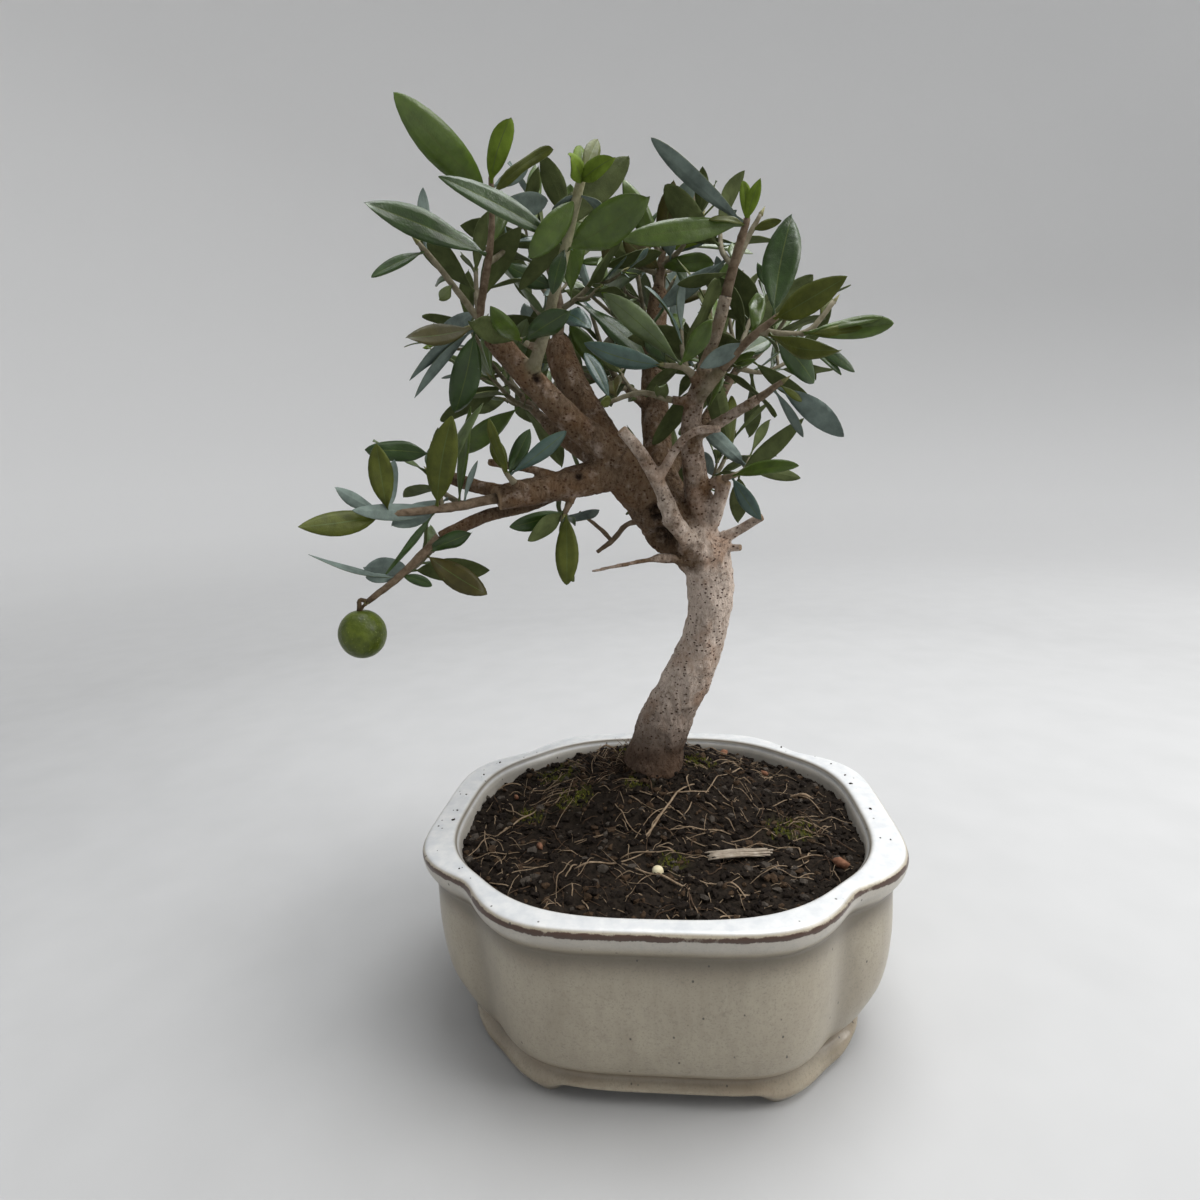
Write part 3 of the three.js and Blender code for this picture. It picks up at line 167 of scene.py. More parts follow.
# Each mass: its limb, seed and reach, its shoots, and its side sprays as (count, length, open, pairs, leaf).
# Each shoot: the shoot it is on, the share along that, legs, radius, then (pairs, leaf) or its leaves.
# Each leaf: [share along the shoot, turn round it, angle opened from it, length, width, roll].
MASSES = {
    "leaves_upper_left": (
        "bough_upper_left", 11, 84,
        [
            (0, 1, [[214, 48, 6]], 2.2),
            (
                0, 1, [[323, 69, 9], [314, 59, 11], [319, 72, 10], [301, 79, 12]], 1.5, [0.5, 175, 80, 41, 9.5, -70],
                [0.5, 125, 85, 24, 8, -30], [0.55, 50, 35, 21, 9, 20], [0.9, -145, 65, 40, 11.5, -130],
                [0.9, -50, 65, 25, 6, 70], [0.85, 15, 80, 22, 8, -70], [0.95, 5, 45, 15, 7, -70],
                [1, -80, 45, 20, 7.5, 140],
            ),
            (
                0, 1, [[217, 51, 11], [213, 51, 12], [210, 48, 6]], 1.3, [0.4, -55, 95, 11, 8, 90],
                [0.45, 180, 80, 13, 4, -20], [0.8, -90, 75, 20, 5, -60], [0.8, 115, 55, 22, 5, -90],
            ),
            (
                0, 0.5, [[190, 0, 5]], 1.2, [1, -20, 40, 27, 7.5, -150], [0.9, 160, 30, 19, 4, -120],
                [0.8, -80, 35, 29, 5, 30], [0.95, -85, 45, 32, 5, 30], [0.8, -105, 70, 30, 14, -90],
                [0.6, 0, 170, 22, 7.5, 0],
            ),
            (0, 0.9, [[110, 50, 12], [100, 62, 12]], 1.2, (3, 30)),
            (1, 0.45, [[60, 35, 10], [40, 50, 12]], 1.1, (3, 28)),
        ],
    ),
    "leaves_front": (
        "shoot_front", 12, 60,
        [
            (
                0, 1, [[316, 60, 18], [323, 65, 8]], 1.7, [0.16, -80, 50, 34, 15, 110], [0.2, 160, 80, 41, 8.5, -50],
                [0.2, -110, 160, 18, 8, 10], [0.68, 145, 130, 26, 12, -80], [0.7, -100, 90, 14, 3.5, -30],
                [0.72, 135, 135, 9, 3.5, 40], [1, 55, 55, 17, 6.5, 10], [1, -150, 75, 15, 6, -100],
                [0.95, -105, 65, 16, 6.5, 120], [0.9, 35, 45, 19, 5.5, 30],
            ),
            (0, 0.25, [[95, 40, 10], [80, 55, 12]], 1.1, (3, 28)),
        ],
    ),
    "leaves_right_top": (
        "shoot_right", 13, 62,
        [
            (
                0, 1, [[335, 72, 15], [324, 68, 9]], 1.9, [0.25, 115, 115, 19, 5, 50], [0.3, 35, 50, 14, 9, -10],
                [0.9, 150, 70, 41, 7, 40], [0.9, 150, 110, 43, 9, -70], [0.88, 160, 95, 14, 3.5, -40],
                [1, -140, 20, 13, 8.5, 170], [1, 145, 25, 12, 5.5, -90],
            ),
            (0, 0.25, [[33, 59, 13], [25, 57, 9]], 1.3, [0.65, -135, 55, 10, 5, 120]),
            (0, 0.3, [[110, 40, 12], [90, 50, 12]], 1.2, (3, 30)),
        ],
    ),
    "leaves_right": (
        "shoot_side", 14, 66,
        [
            (
                0, 1, [[317, 33, 13], [326, 29, 12]], 1.8, [1, 70, 60, 35, 13.5, -50], [1, -140, 25, 30, 9.5, 150],
                [0.6, 65, 70, 17, 13, -40], [0.5, 175, 150, 18, 11.5, 140],
            ),
            (
                0, 0.7, [[10, -8, 10], [15, 10, 8], [25, 45, 13]], 1.4, [0.1, -170, 60, 36, 7.5, -150],
                [0.4, -120, 40, 24, 5, 100], [0.5, -170, 30, 29, 8, 160], [0.55, -155, 35, 23, 5.5, 140],
                [0.6, -160, 40, 24, 4, 120], [0.8, 35, 20, 12, 7.5, -60], [0.12, -60, 35, 25, 9, 70],
                [0.3, -115, 40, 23, 4, 90],
            ),
            (0, 0.4, [[80, 25, 12], [70, 40, 12]], 1.2, (3, 30)),
        ],
    ),
    "leaves_right_low": (
        "bough_right_low", 15, 50,
        [
            (
                0, 1, [[327, 28, 10]], 1.5, [0.75, -75, 70, 29, 8.5, -100], [0.6, -75, 90, 20, 5, -60],
                [0.5, 175, 155, 22, 5, 10], [1, -70, 70, 10, 3, 40],
            ),
            (0, 0.9, [[20, 20, 12], [30, 35, 10]], 1.1, (3, 27)),
        ],
    ),
    "leaves_left": (
        "bough_cut_left", 16, 76,
        [
            (
                0, 1, [[212, -8, 14], [214, -4, 11], [209, -2, 17]], 2, [0.3, 70, 115, 17, 3.5, -60],
                [0.35, 95, 110, 36, 5.5, 30], [0.42, 45, 10, 35, 7, -20], [0.6, 65, 100, 34, 11, 60],
                [0.62, 95, 115, 44, 6, 40], [0.6, -90, 45, 29, 3.5, 60], [0.95, 70, 85, 26, 12, 80],
                [0.95, 110, 105, 20, 7, -80], [1, 50, 35, 21, 5.5, -30], [1, -10, 15, 29, 9.5, -150],
            ),
            (0, 0.55, [[120, 70, 22]], 1.2, [1, -25, 75, 25, 9, -90], [0.95, -160, 70, 18, 9, 90]),
            (0, 0.3, [[150, 25, 12], [140, 40, 12]], 1.2, (3, 30)),
        ],
    ),
    "leaves_fruit": (
        "bough_fruit", 17, 60,
        [
            (
                0, 1, [[208, -40, 20], [209, -34, 15]], 1.8, [0.2, -75, 100, 28, 13.5, -90],
                [0.18, -55, 150, 24, 12, -50], [0.55, 90, 60, 31, 3, -40], [0.55, 95, 45, 11, 7, -80],
                [0.5, -50, 115, 13, 6, 80],
            ),
            (0, 0.5, [[80, 10, 12], [70, 25, 12]], 1.1, (3, 28)),
        ],
    ),
    "leaves_under": (
        "spur_under", 18, 44,
        [
            (
                0, 1, [[240, -50, 5]], 1.5, [0.9, -80, 30, 28, 9.5, -40], [1, 130, 25, 20, 7.5, 60],
                [0.9, -60, 125, 18, 12, -60], [0.8, 145, 55, 23, 9, 40],
            ),
            (0, 0.6, [[110, -20, 12], [100, 0, 10]], 1.1, (3, 27)),
        ],
    ),
    "leaves_centre": (
        "spur_top", 19, 44,
        [
            (
                0, 1, [[225, 50, 5]], 1.4, [0.9, 60, 90, 26, 6.5, -90], [1, 145, 50, 17, 8, -160],
                [0.95, 70, 65, 18, 12, 60], [1, 30, 20, 22, 5, 80], [0.9, -155, 65, 20, 9, -40],
            ),
        ],
    ),
    "leaves_low": (
        "spur_low", 20, 44,
        [
            (0, 1, [[330, 10, 5]], 1.5, [1, -160, 15, 30, 6.5, 130], [0.9, -80, 70, 21, 7, -90]),
            (0, 0.6, [[60, 10, 12], [70, 25, 12]], 1.1, (3, 30)),
        ],
    ),
    "leaves_inner_front": (
        "spur_front", 29, 46,
        [
            (
                0, 1, [[215, 25, 5], [205, 5, 7]], 1.4, [0.4, 120, 25, 37, 8.5, 20], [0.05, 15, 95, 24, 12, -130],
                [0.98, 135, 20, 30, 8, 10], [0.95, 140, 85, 22, 8, 30], [0.6, 40, 100, 20, 7, 40],
            ),
            (0, 0.3, [[100, 50, 10], [90, 60, 10]], 1.1, (3, 26)),
        ],
    ),
    "leaves_knuckle": (
        "spur_left", 30, 46,
        [
            (
                0, 1, [[196, 14, 12], [190, -14, 13]], 1.3, [0.1, 0, 65, 16, 8, -40], [0.98, 120, 85, 24, 6, -80],
                [1, 0, 70, 12, 8.5, 150], [0.85, 155, 100, 22, 11, 80], [0.5, 120, 125, 22, 12, 90],
            ),
            (0, 0.55, [[110, 20, 10], [120, 40, 10]], 1.1, (3, 28)),
        ],
    ),
    "leaves_shoot": (
        "spur_shoot", 31, 40,
        [
            (
                0, 1, [[235, 20, 4]], 1.2, [0.7, -65, 15, 24, 8.5, 40], [0.8, 45, 100, 30, 10, 40],
                [1, 0, 20, 22, 7, 120],
            ),
        ],
    ),
    "leaves_upper_middle": (
        "bough_upper_middle", 21, 70,
        [
            (
                0, 1, [[73, 71, 13], [120, 74, 12]], 2.4, [1, 30, 110, 24, 7, 40], [0.9, 0, 70, 22, 12, -120],
                [0.5, 135, 130, 24, 8, 60],
            ),
        ],
        (5, 28, 66, 3, 36),
    ),
    "leaves_leader": (
        "bough_leader", 22, 62,
        [
            (
                0, 1, [[60, 76, 9], [30, 78, 8]], 2.4, [1, 95, 45, 34, 10, -120], [0.9, 160, 55, 30, 10, -160],
                [0.45, 90, 85, 26, 13, -120], [0.5, -160, 90, 24, 10, 100], [0.95, -130, 65, 25, 7, 100],
            ),
        ],
        (5, 24, 74, 3, 34),
    ),
    "leaves_back_left": ("bough_back_left", 23, 66, [(0, 1, [[148, 40, 12], [150, 48, 8]], 2.2)], (5, 30, 72, 3, 37)),
    "leaves_back_right": ("bough_back_right", 24, 66, [(0, 1, [[46, 46, 12], [40, 52, 8]], 2.2)], (5, 30, 72, 3, 37)),
    "leaves_back_high": ("bough_back_high", 25, 58, [(0, 1, [[96, 50, 11]], 2)], (4, 26, 70, 3, 35)),
    "leaves_middle": ("spur_middle", 26, 52, [(0, 1, [[200, 45, 10]], 1.8)], (4, 22, 66, 3, 32)),
    "leaves_back_low": ("bough_back_low", 27, 58, [(0, 1, [[95, 20, 10]], 1.9)], (3, 26, 70, 3, 36)),
    "leaves_inner_right": ("spur_inner", 28, 54, [(0, 1, [[60, 50, 10]], 1.8)], (4, 22, 66, 3, 33)),
}

# The look of each leaf in the rows above, in their order, by its letter in LEAF_COLOURS. A small letter shows
# the underside to the front: the silvery one for s, and for l and o the darker underside painted for shade.
LOOKS = {
    "leaves_upper_left": ["", "DDGGOssY", "lDDs", "WsssDl"],
    "leaves_front": ["GDDGssYYYO"],
    "leaves_right_top": ["lGsGOYY", "O"],
    "leaves_right": ["DOGs", "ODGOGODD"],
    "leaves_right_low": ["ssGO"],
    "leaves_left": ["sGsOLDOssO", "DG"],
    "leaves_fruit": ["WDssD"],
    "leaves_under": ["OoDD"],
    "leaves_centre": ["BODOD"],
    "leaves_inner_front": ["LsBDG"],
    "leaves_knuckle": ["lBOWD"],
    "leaves_shoot": ["lDG"],
    "leaves_low": ["GB"],
    "leaves_upper_middle": ["sDB"],
    "leaves_leader": ["GWWGY"],
}


# ---------------------------------------------------------------- paths and frames
def direction(heading, rise):
    h, r = math.radians(heading), math.radians(rise)
    return np.array([math.cos(r) * math.cos(h), math.cos(r) * math.sin(h), math.sin(r)])


def unit(v):
    return v / np.linalg.norm(v)


class Path:
    """A smooth open curve through points, by the share of its spans."""

    def __init__(self, points):
        self.points = [np.array(p, float) for p in points]
        before = 2 * self.points[0] - self.points[1]
        after = 2 * self.points[-1] - self.points[-2]
        self.knots = [before, *self.points, after]

    def point(self, share):
        last = len(self.points) - 1
        at = last * share
        i = min(int(at), last - 1)
        w = at - i
        p0, p1, p2, p3 = self.knots[i : i + 4]
        t0, t1 = 0.5 * (p2 - p0), 0.5 * (p3 - p1)
        c2 = 3 * (p2 - p1) - 2 * t0 - t1
        c3 = 2 * (p1 - p2) + t0 + t1
        return p1 + t0 * w + c2 * w * w + c3 * w**3

    def tangent(self, share):
        step = 1e-4
        return unit(self.point(min(share + step, 1)) - self.point(max(share - step, 0)))

    def length(self):
        line = np.array([self.point(i / 200) for i in range(201)])
        return np.linalg.norm(np.diff(line, axis=0), axis=1).sum()


def path_of(start, legs):
    points = [np.array(start, float)]
    for heading, rise, length in legs:
        points.append(points[-1] + length * direction(heading, rise))
    return Path(points)


def spread(values, share):
    """The value at a share of a list spread evenly from 0 to 1."""
    return float(np.interp(share, np.linspace(0, 1, len(values)), values))


def chance(seed, n):
    """A repeatable number from 0 to 1."""
    x = math.sin(seed * 12.9898 + n * 78.233) * 43758.5453
    return x - math.floor(x)


def sway(seed, n):
    return 2 * chance(seed, n) - 1


def frame_of(curve, share):
    """The direction along a curve, to its left and above it."""
    along = curve.tangent(share)
    heading = math.atan2(along[1], along[0])
    side = np.array([-math.sin(heading), math.cos(heading), 0])
    return along, side, np.cross(along, side)


def opened(axes, turn, open_):
    t, o = math.radians(turn), math.radians(open_)
    along, side, lift = axes
    return math.cos(o) * along + math.sin(o) * (math.cos(t) * side + math.sin(t) * lift)


# ---------------------------------------------------------------- growing the crown
limbs = {}
for name, (parent, share, legs, radii) in LIMBS.items():
    start = limbs[parent].curve.point(share) if parent else TRUNK_FOOT
    steps = len(legs) * (2 if radii[0] > LIMB_ROUND else 1)
    limbs[name] = SimpleNamespace(curve=path_of(start, legs), radii=radii, steps=steps, legs=len(legs))


def bones_of(curve, radii, steps):
    """Segments that stand for a limb or twig, and their radii."""
    points = [curve.point(i / steps) for i in range(steps + 1)]
    thick = [spread(radii, i / steps) for i in range(steps + 1)]
    return np.array(points[:-1]), np.array(points[1:]), np.maximum(thick[:-1], thick[1:])


class Segments:
    """Segments that a new leaf or shoot keeps clear of."""

    def __init__(self):
        self.starts = np.zeros((0, 3))
        self.ends = np.zeros((0, 3))
        self.radii = np.zeros(0)

    def add(self, starts, ends, radii=None):
        self.starts = np.vstack([self.starts, starts])
        self.ends = np.vstack([self.ends, ends])
        self.radii = np.append(self.radii, np.zeros(len(starts)) if radii is None else radii)

    def clear_of(self, line, gaps):
        """Whether every segment is at least its gap from a line."""
        if not len(self.starts):
            return True
        p, q = line
        d1, d2, r = q - p, self.ends - self.starts, p - self.starts
        e1, e2 = d1 @ d1, (d2 * d2).sum(1)
        f, c, m = (d2 * r).sum(1), r @ d1, d2 @ d1
        bulk = e1 * e2 - m * m
        s = np.where(bulk > 1e-9, np.clip((m * f - c * e2) / np.maximum(bulk, 1e-9), 0, 1), 0)
        t = np.clip((m * s + f) / e2, 0, 1)
        s = np.clip((m * t - c) / e1, 0, 1)
        gap = np.linalg.norm(r + s[:, None] * d1 - t[:, None] * d2, axis=1)
        return bool((gap >= gaps).all())


limb_bones, other_twigs, other_leaves = Segments(), Segments(), Segments()
for limb in limbs.values():
    limb_bones.add(*bones_of(limb.curve, limb.radii, limb.steps))


def leaf_at(curve, row):
    """A leaf's root and the axes of its blade. Roll 0 turns the upper side to the tip of the shoot."""
    wanted, turn, open_, length, width, roll = row
    share = min(wanted, 1 - LEAF["fromTip"] / curve.length())
    axes = frame_of(curve, share)
    along = opened(axes, turn, open_)
    level = unit(axes[0] - (axes[0] @ along) * along)
    up = math.cos(math.radians(roll)) * level + math.sin(math.radians(roll)) * np.cross(along, level)
    across = np.cross(along, up)
    return SimpleNamespace(
        root=curve.point(share), along=along, up=up, across=across, length=length, width=width
    )


def on_blade(leaf, l, w):
    return leaf.root + l * leaf.length * leaf.along + w * leaf.width * leaf.across


def lines_of(leaf):
    return [np.array([on_blade(leaf, *end) for end in ends]) for ends in LEAF_LINES]


def leaf_is_clear(leaf, mass):
    limb_gaps = np.maximum(limb_bones.radii + CLEAR["limb"], CLEAR["leaf"])
    for line in leaf.lines:
        if not limb_bones.clear_of(line, limb_gaps):
            return False
        if not other_twigs.clear_of(line, CLEAR["leaf"]) or not other_leaves.clear_of(line, CLEAR["leaf"]):
            return False
    own = Segments()
    for other in mass.leaves:
        if np.linalg.norm(other.root - leaf.root) >= 2 * CLEAR["ownLeaf"]:
            own.add(*np.array(other.lines).transpose(1, 0, 2))
    return all(own.clear_of(line, CLEAR["ownLeaf"]) for line in leaf.lines)


def shoot_is_clear(curve, radius):
    low, middle, tip = (curve.point(share) for share in (0.4, 0.7, 1))
    return all(
        limb_bones.clear_of(line, limb_bones.radii + radius + CLEAR["limb"])
        and other_twigs.clear_of(line, CLEAR["twig"])
        and other_leaves.clear_of(line, CLEAR["twig"])
        for line in ((low, middle), (middle, tip))
    )


def place_leaf(mass, shoot, row, seed, look):
    """Puts one leaf on a shoot, at the first of a few places where it fits, or leaves it out."""
    share, turn, open_, length, width, roll = row
    for k in range(LEAF["tries"]):
        leaf = leaf_at(shoot.curve, [
            share,
            turn + k * NUDGE["turn"] * sway(seed, 4 * k),
            open_ + k * NUDGE["open"] * sway(seed, 4 * k + 1),
            length * (1 - k * NUDGE["length"]),
            width * (1 - k * NUDGE["width"]),
            roll + k * NUDGE["roll"] * sway(seed, 4 * k + 2),
        ])
        tip = on_blade(leaf, 1, 0)
        if tip[2] > CROWN_TOP or np.linalg.norm(tip - mass.anchor) > mass.reach:
            continue
        leaf.lines = lines_of(leaf)
        if leaf_is_clear(leaf, mass):
            leaf.seed, leaf.look, leaf.shoot = seed, look, shoot.seed
            if look and (leaf.up @ (CAMERA_AT - leaf.root) > 0) != look.isupper():
                leaf.up, leaf.across = -leaf.up, -leaf.across
            mass.leaves.append(leaf)
            return


def pair_rows(pairs, size, shoot_length, seed):
    """Crosswise pairs of leaves up a shoot, smaller and closer to it towards its tip."""
    rows = []
    first = 360 * chance(seed, 1)
    for i in range(pairs):
        for half in (0, 1):
            n = 10 + 2 * i + half
            up = i / (pairs - 1)
            share = PAIR["from"] + (1 - PAIR["from"]) * up - half * LEAF["stagger"] / shoot_length
            turn = first + 90 * i + 180 * half + PAIR["turnSway"] * sway(seed, n + 20)
            open_ = PAIR["open"] - PAIR["closing"] * up + PAIR["openSway"] * sway(seed, n + 40)
            length = size * (1 - PAIR["shrink"] * up) * (1 + PAIR["lengthSway"] * sway(seed, n))
            width = length * LEAF["slimness"] * (1 + PAIR["widthSway"] * sway(seed, n + 60))
            rows.append([share, turn, open_, length, width, PAIR["rollSway"] * sway(seed, n + 80)])
    return rows


def spray_shoots(mass, stem, sprays, seed):
    """Side shoots that fan out round the stem and bend upwards."""
    count, reach, wide, pairs, size = sprays
    for k in range(count):
        up = k / (count - 1)
        share = SPRAY["from"] + (1 - SPRAY["from"]) * up
        axes, start = frame_of(stem.curve, share), stem.curve.point(share)
        for attempt in range(LEAF["tries"]):
            own = seed + 100 * (k + 1) + attempt
            turn = SPRAY["around"] * k + SPRAY["turnSway"] * sway(own, 1)
            open_ = wide * (1 - SPRAY["closing"] * up) + SPRAY["openSway"] * sway(own, 2)
            length = reach * (1 + SPRAY["lengthSway"] * sway(own, 3))
            aim = opened(axes, turn, open_)
            bend = start + SPRAY["bendAt"] * length * aim
            tip = bend + (1 - SPRAY["bendAt"]) * length * unit(aim + [0, 0, SPRAY["lift"]])
            curve = Path([start, bend, tip])
            if np.linalg.norm(tip - mass.anchor) > mass.reach:
                continue
            if not shoot_is_clear(curve, SPRAY["radii"][1]):
                continue
            rows = pair_rows(pairs, size, length, own)
            mass.shoots.append(SimpleNamespace(curve=curve, radii=SPRAY["radii"], steps=2, rows=rows, seed=own))
            break


def grow_mass(name, limb, seed, reach, shoots, sprays=None):
    """Grows one mass from the tip of its limb: its shoots, then its sprays, then the leaves of them all."""
    anchor = limbs[limb].curve.point(1)
    mass = SimpleNamespace(name=name, reach=reach, anchor=anchor, shoots=[], leaves=[], seeded=sprays is not None)
    for i, (on, share, legs, radius, *growth) in enumerate(shoots):
        start = mass.shoots[on].curve.point(share) if i else anchor
        radii = [taper * radius for taper in TWIG_TAPER]
        curve, own = path_of(start, legs), seed + i
        if growth and isinstance(growth[0], tuple):
            if not shoot_is_clear(curve, radius):
                continue
            growth = pair_rows(*growth[0], sum(length for _, _, length in legs), own)
        mass.shoots.append(SimpleNamespace(curve=curve, radii=radii, steps=len(legs), rows=growth, seed=own))
    if mass.seeded:
        spray_shoots(mass, mass.shoots[0], sprays, seed)
    for i, shoot in enumerate(mass.shoots):
        looks = LOOKS.get(name, [])
        letters = looks[i] if i < len(looks) else ""
        for j, row in enumerate(shoot.rows):
            place_leaf(mass, shoot, row, shoot.seed + 0.37 * (j + 1), letters[j] if j < len(letters) else "")
    for shoot in mass.shoots:
        other_twigs.add(*bones_of(shoot.curve, shoot.radii, shoot.steps))
    for leaf in mass.leaves:
        other_leaves.add(*np.array(leaf.lines).transpose(1, 0, 2))
    return mass


masses = [grow_mass(name, *row) for name, row in MASSES.items()]


# ---------------------------------------------------------------- making pieces
class Maker:
    """Gathers points in millimetres about the pot, and faces with their materials, into one piece."""

    def __init__(self):
        self.points = []
        self.faces = []
        self.paints = []

    def add(self, points, faces, paint=0):
        base = len(self.points)
        self.points.extend(points)
        self.faces.extend([tuple(base + i for i in face) for face in faces])
        self.paints.extend([paint] * len(faces) if isinstance(paint, int) else paint)

    def build(self, name, materials, slot, nodes=(), smooth=True, values=None):
        mesh = bpy.data.meshes.new(name)
        mesh.from_pydata((np.array(self.points) * MM + ORIGIN).tolist(), [], self.faces)
        for material in materials:
            mesh.materials.append(material)
        mesh.polygons.foreach_set("material_index", self.paints)
        mesh.polygons.foreach_set("use_smooth", [smooth] * len(self.faces))
        turned_out(mesh)
        return finish_piece(mesh, nodes, values or {})


def turned_out(mesh):
    """Turns the faces of closed shells outwards."""
    shells = bmesh.new()
    shells.from_mesh(mesh)
    bmesh.ops.recalc_face_normals(shells, faces=shells.faces)
    shells.to_mesh(mesh)
    shells.free()


def finish_piece(mesh, nodes, values):
    for key, numbers in values.items():
        mesh.attributes.new(key, "FLOAT", "POINT").data.foreach_set("value", np.array(numbers, float))
    mesh.update()
    piece = bpy.data.objects.new(mesh.name, mesh)
    bpy.context.scene.collection.objects.link(piece)
    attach(piece, "root")
    if nodes:
        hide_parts(*nodes)
    return piece


def grid_faces(rows, columns, closed=True):
    """Faces of a sheet of points in rows, joined round where it is closed."""
    faces = []
    for r in range(rows - 1):
        for c in range(columns if closed else columns - 1):
            d = (c + 1) % columns
            faces.append((r * columns + c, r * columns + d, (r + 1) * columns + d, (r + 1) * columns + c))
    return faces


def tube(maker, curve, radii, sides, steps, paint=0, wobble=0.0, seed=0):
    """A round tapering tube with closed ends along a curve."""
    points = []
    side = None
    for s in range(steps + 1):
        t = s / steps
        along = curve.tangent(t)
        if side is None:
            side = unit(np.cross(along, [0.31, 0.17, 0.93] if abs(along[2]) < 0.9 else [1, 0, 0]))
        side = unit(side - (side @ along) * along)
        other = np.cross(along, side)
        centre, radius = curve.point(t), spread(radii, t)
        for i in range(sides):
            a = 2 * math.pi * i / sides
            r = radius * (1 + wobble * sway(seed, 7 * s + i))
            points.append(centre + r * (math.cos(a) * side + math.sin(a) * other))
    faces = grid_faces(steps + 1, sides)
    faces.append(tuple(reversed(range(sides))))
    faces.append(tuple(range(steps * sides, (steps + 1) * sides)))
    maker.add(points, faces, paint)


# ---------------------------------------------------------------- materials
class Look:
    """A Principled material with its procedural nodes."""

    def __init__(self, name, roughness=0.5, **sockets):
        self.material = bpy.data.materials.new(name)
        self.material.use_nodes = True
        self.nodes = self.material.node_tree.nodes
        self.links = self.material.node_tree.links
        self.shader = self.nodes["Principled BSDF"]
        self.set(self.shader, {"Roughness": roughness, **sockets})

    def set(self, node, inputs):
        for key, value in inputs.items():
            if isinstance(value, bpy.types.NodeSocket):
                self.links.new(value, node.inputs[key])
            elif isinstance(value, tuple) and len(value) == 3 and node.inputs[key].type == "RGBA":
                node.inputs[key].default_value = (*value, 1)
            else:
                node.inputs[key].default_value = value

    def node(self, kind, inputs=None, **settings):
        node = self.nodes.new("ShaderNode" + kind)
        for key, value in settings.items():
            setattr(node, key, value)
        self.set(node, inputs or {})
        return node

    def place(self, stretch=(1, 1, 1)):
        where = self.node("TexCoord").outputs["Object"]
        return self.node("Mapping", {"Vector": where, "Scale": stretch}).outputs["Vector"]

    def noise(self, size, detail=3.0, rough=0.5, stretch=(1, 1, 1)):
        """Noise whose features measure about a size in millimetres."""
        inputs = {"Vector": self.place(stretch), "Scale": 1 / (size * MM), "Detail": detail, "Roughness": rough}
        return self.node("TexNoise", inputs).outputs["Fac"]

    def spots(self, size, stretch=(1, 1, 1)):
        """The distance from the nearest of many points a size apart, as a share of it."""
        inputs = {"Vector": self.place(stretch), "Scale": 1 / (size * MM)}
        return self.node("TexVoronoi", inputs).outputs["Distance"]

    def value(self, name):
        return self.node("Attribute", attribute_name=name).outputs["Fac"]

    def between(self, value, low, high, to_low=0.0, to_high=1.0):
        inputs = {"Value": value, "From Min": low, "From Max": high, "To Min": to_low, "To Max": to_high}
        return self.node("MapRange", inputs, clamp=True).outputs["Result"]

    def times(self, a, b):
        node = self.node("Math", operation="MULTIPLY")
        self.set_two(node, a, b)
        return node.outputs[0]

    def plus(self, a, b):
        node = self.node("Math", operation="ADD")
        self.set_two(node, a, b)
        return node.outputs[0]

    def set_two(self, node, a, b):
        for socket, value in zip(node.inputs, (a, b)):
            if isinstance(value, bpy.types.NodeSocket):
                self.links.new(value, socket)
            else:
                socket.default_value = value

    def mix(self, share, a, b):
        node = self.node("Mix", data_type="RGBA")
        for socket, value in ((node.inputs[0], share), (node.inputs[6], a), (node.inputs[7], b)):
            if isinstance(value, bpy.types.NodeSocket):
                self.links.new(value, socket)
            else:
                socket.default_value = (*value, 1) if isinstance(value, tuple) else value
        return node.outputs[2]

    def over(self, under, share, most, tint):
        """A tint laid over a colour by a share of the most it may cover."""
        return self.mix(self.times(share, most), under, tint)

    def bump(self, height, depth, strength=1.0, under=None):
        """Relief of a depth in millimetres."""
        node = self.node("Bump", {"Height": height, "Distance": depth * MM, "Strength": strength})
        if under is not None:
            self.links.new(under, node.inputs["Normal"])
        return node.outputs["Normal"]

    def done(self, colour=None, roughness=None, normal=None):
        for key, value in (("Base Color", colour), ("Roughness", roughness), ("Normal", normal)):
            if value is not None:
                self.set(self.shader, {key: value})
        return self.material


def leaf_look(name, colour, roughness, pale=0.25, mottle=0.3, shine=0.3):
    """One plain leaf colour, a little blotched and grained."""
    look = Look(name, roughness, **{"Specular IOR Level": shine})
    darker = tuple(c * (1 - mottle) for c in colour)
    lighter = tuple(c * (1 + pale) for c in colour)
    blotch = look.between(look.noise(5, 4, 0.6), 0.3, 0.7)
    grain = look.between(look.spots(0.45), 0.1, 0.6)
    normal = look.bump(grain, 0.05, 0.5, look.bump(look.noise(2.4, 3), 0.3, 0.6))
    return look.done(look.mix(blotch, darker, lighter), normal=normal)


LEAF_COLOURS = {
    "D": (0.023, 0.050, 0.007),
    "G": (0.060, 0.100, 0.010),
    "O": (0.072, 0.084, 0.012),
    "B": (0.050, 0.088, 0.072),
    "L": (0.085, 0.118, 0.042),
    "W": (0.054, 0.046, 0.008),
    "Y": (0.125, 0.185, 0.022),
}
LETTERS = list(LEAF_COLOURS)
SHEEN = {"Y": (0.65, 0.1), "O": (0.5, 0.2), "W": (0.45, 0.3)}  # roughness and gloss where they aren't a leaf's usual
leaf_materials = []
for key, colour in LEAF_COLOURS.items():
    rough, shine = SHEEN.get(key, (0.35, 0.45))
    leaf_materials.append(leaf_look("leaf_" + key, colour, rough, shine=shine))
UNDER = len(LETTERS)
leaf_materials.append(leaf_look("leaf_under", (0.140, 0.178, 0.158), 0.7, shine=0.15))
# Painted shade: a darker, greener underside for undersides that show in shade, beside the silver leaf_under.
leaf_materials.append(leaf_look("leaf_under_shaded", (0.072, 0.088, 0.032), 0.7, shine=0.1))
RIB = UNDER + 2
leaf_materials.append(leaf_look("leaf_rib", (0.068, 0.094, 0.021), 0.5, mottle=0.1))
leaf_materials.append(leaf_look("leaf_margin", (0.082, 0.102, 0.029), 0.5, mottle=0.1))
MARGIN = RIB + 1


